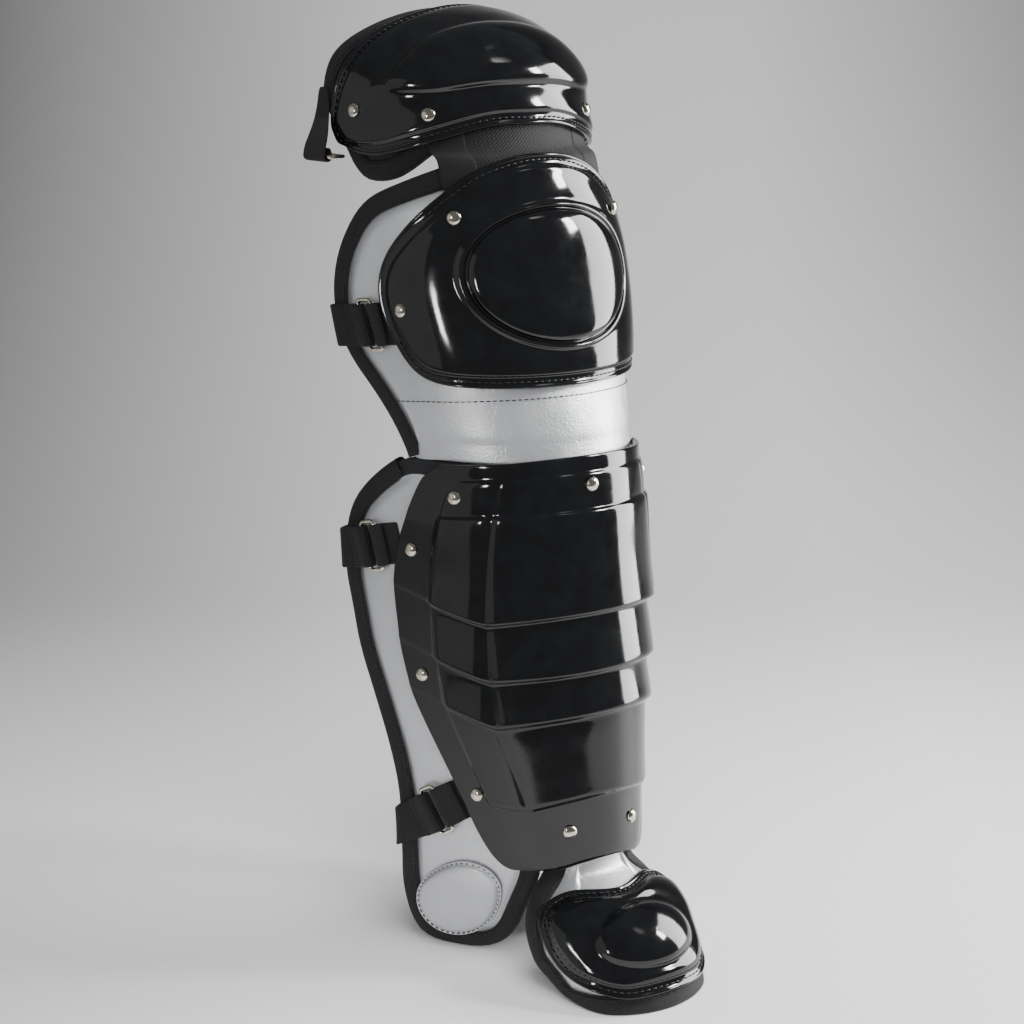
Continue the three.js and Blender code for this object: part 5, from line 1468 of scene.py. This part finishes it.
class LEGGUARD_OT_padding(bpy.types.Operator):
    """Make the knee, shin, toe and thigh padding"""

    bl_idname = "legguard.padding"
    bl_label = "Padding"

    def execute(self, context):
        for name in PADS:
            make_pad(name)
        return {"FINISHED"}


class LEGGUARD_OT_bindings(bpy.types.Operator):
    """Fold the woven bindings round the padding's edges"""

    bl_idname = "legguard.bindings"
    bl_label = "Bindings"

    def execute(self, context):
        make_binding("knee", *TAPED["knee"])
        make_binding("shin", *TAPED["shin"])
        make_binding("toe", None, None)
        make_binding("thigh", None, None)
        return {"FINISHED"}


class LEGGUARD_OT_shells(bpy.types.Operator):
    """Form the knee, shin, thigh and toe shells"""

    bl_idname = "legguard.shells"
    bl_label = "Shells"

    def execute(self, context):
        make_knee_shell()
        make_shin_shell()
        make_thigh_shell()
        make_toe_shell()
        return {"FINISHED"}


class LEGGUARD_OT_discs(bpy.types.Operator):
    """Pad the round discs on the ankle wings"""

    bl_idname = "legguard.discs"
    bl_label = "Ankle discs"

    def execute(self, context):
        make_discs()
        return {"FINISHED"}


class LEGGUARD_OT_hinge(bpy.types.Operator):
    """Join the thigh cap to the knee with cloth and webbing"""

    bl_idname = "legguard.hinge"
    bl_label = "Hinge"

    def execute(self, context):
        make_hinge()
        return {"FINISHED"}


class LEGGUARD_OT_straps(bpy.types.Operator):
    """Run the elastic straps behind the leg"""

    bl_idname = "legguard.straps"
    bl_label = "Straps"

    def execute(self, context):
        make_straps()
        return {"FINISHED"}


class LEGGUARD_OT_tabs(bpy.types.Operator):
    """Fold the webbing tabs round their metal rings"""

    bl_idname = "legguard.tabs"
    bl_label = "Tabs and rings"

    def execute(self, context):
        make_tabs_and_rings()
        return {"FINISHED"}


class LEGGUARD_OT_rivets(bpy.types.Operator):
    """Set the domed rivets"""

    bl_idname = "legguard.rivets"
    bl_label = "Rivets"

    def execute(self, context):
        make_rivets()
        return {"FINISHED"}


class LEGGUARD_OT_stitching(bpy.types.Operator):
    """Sew the shells, bindings and padding"""

    bl_idname = "legguard.stitching"
    bl_label = "Stitching"

    def execute(self, context):
        make_stitching()
        return {"FINISHED"}


class LEGGUARD_PT_panel(bpy.types.Panel):
    """Lists the leg guard's pieces and values"""

    bl_idname = "LEGGUARD_PT_panel"
    bl_label = "Leg guard"
    bl_space_type = "VIEW_3D"
    bl_region_type = "UI"
    bl_category = "Leg guard"

    def draw(self, context):
        for operator in OPERATORS:
            self.layout.operator(operator.bl_idname)
        for group in (
            context.scene.legguard_sizes, context.scene.legguard_colours, context.scene.legguard_stage,
        ):
            for key in group.__annotations__:
                self.layout.prop(group, key)


OPERATORS = (
    LEGGUARD_OT_stage, LEGGUARD_OT_padding, LEGGUARD_OT_bindings, LEGGUARD_OT_shells, LEGGUARD_OT_discs,
    LEGGUARD_OT_hinge, LEGGUARD_OT_straps, LEGGUARD_OT_tabs, LEGGUARD_OT_rivets, LEGGUARD_OT_stitching,
)
CLASSES = (LegGuardSizes, LegGuardColours, LegGuardStage) + OPERATORS + (LEGGUARD_PT_panel,)


def register():
    for made in CLASSES:
        bpy.utils.register_class(made)
    bpy.types.Scene.legguard_sizes = bpy.props.PointerProperty(type=LegGuardSizes)
    bpy.types.Scene.legguard_colours = bpy.props.PointerProperty(type=LegGuardColours)
    bpy.types.Scene.legguard_stage = bpy.props.PointerProperty(type=LegGuardStage)


def unregister():
    del bpy.types.Scene.legguard_stage
    del bpy.types.Scene.legguard_colours
    del bpy.types.Scene.legguard_sizes
    for made in reversed(CLASSES):
        bpy.utils.unregister_class(made)


def main():
    register()
    bpy.ops.legguard.stage()
    bpy.ops.legguard.padding()
    bpy.ops.legguard.bindings()
    bpy.ops.legguard.shells()
    bpy.ops.legguard.discs()
    bpy.ops.legguard.hinge()
    bpy.ops.legguard.straps()
    bpy.ops.legguard.tabs()
    bpy.ops.legguard.rivets()
    bpy.ops.legguard.stitching()


if __name__ == "__main__":
    main()
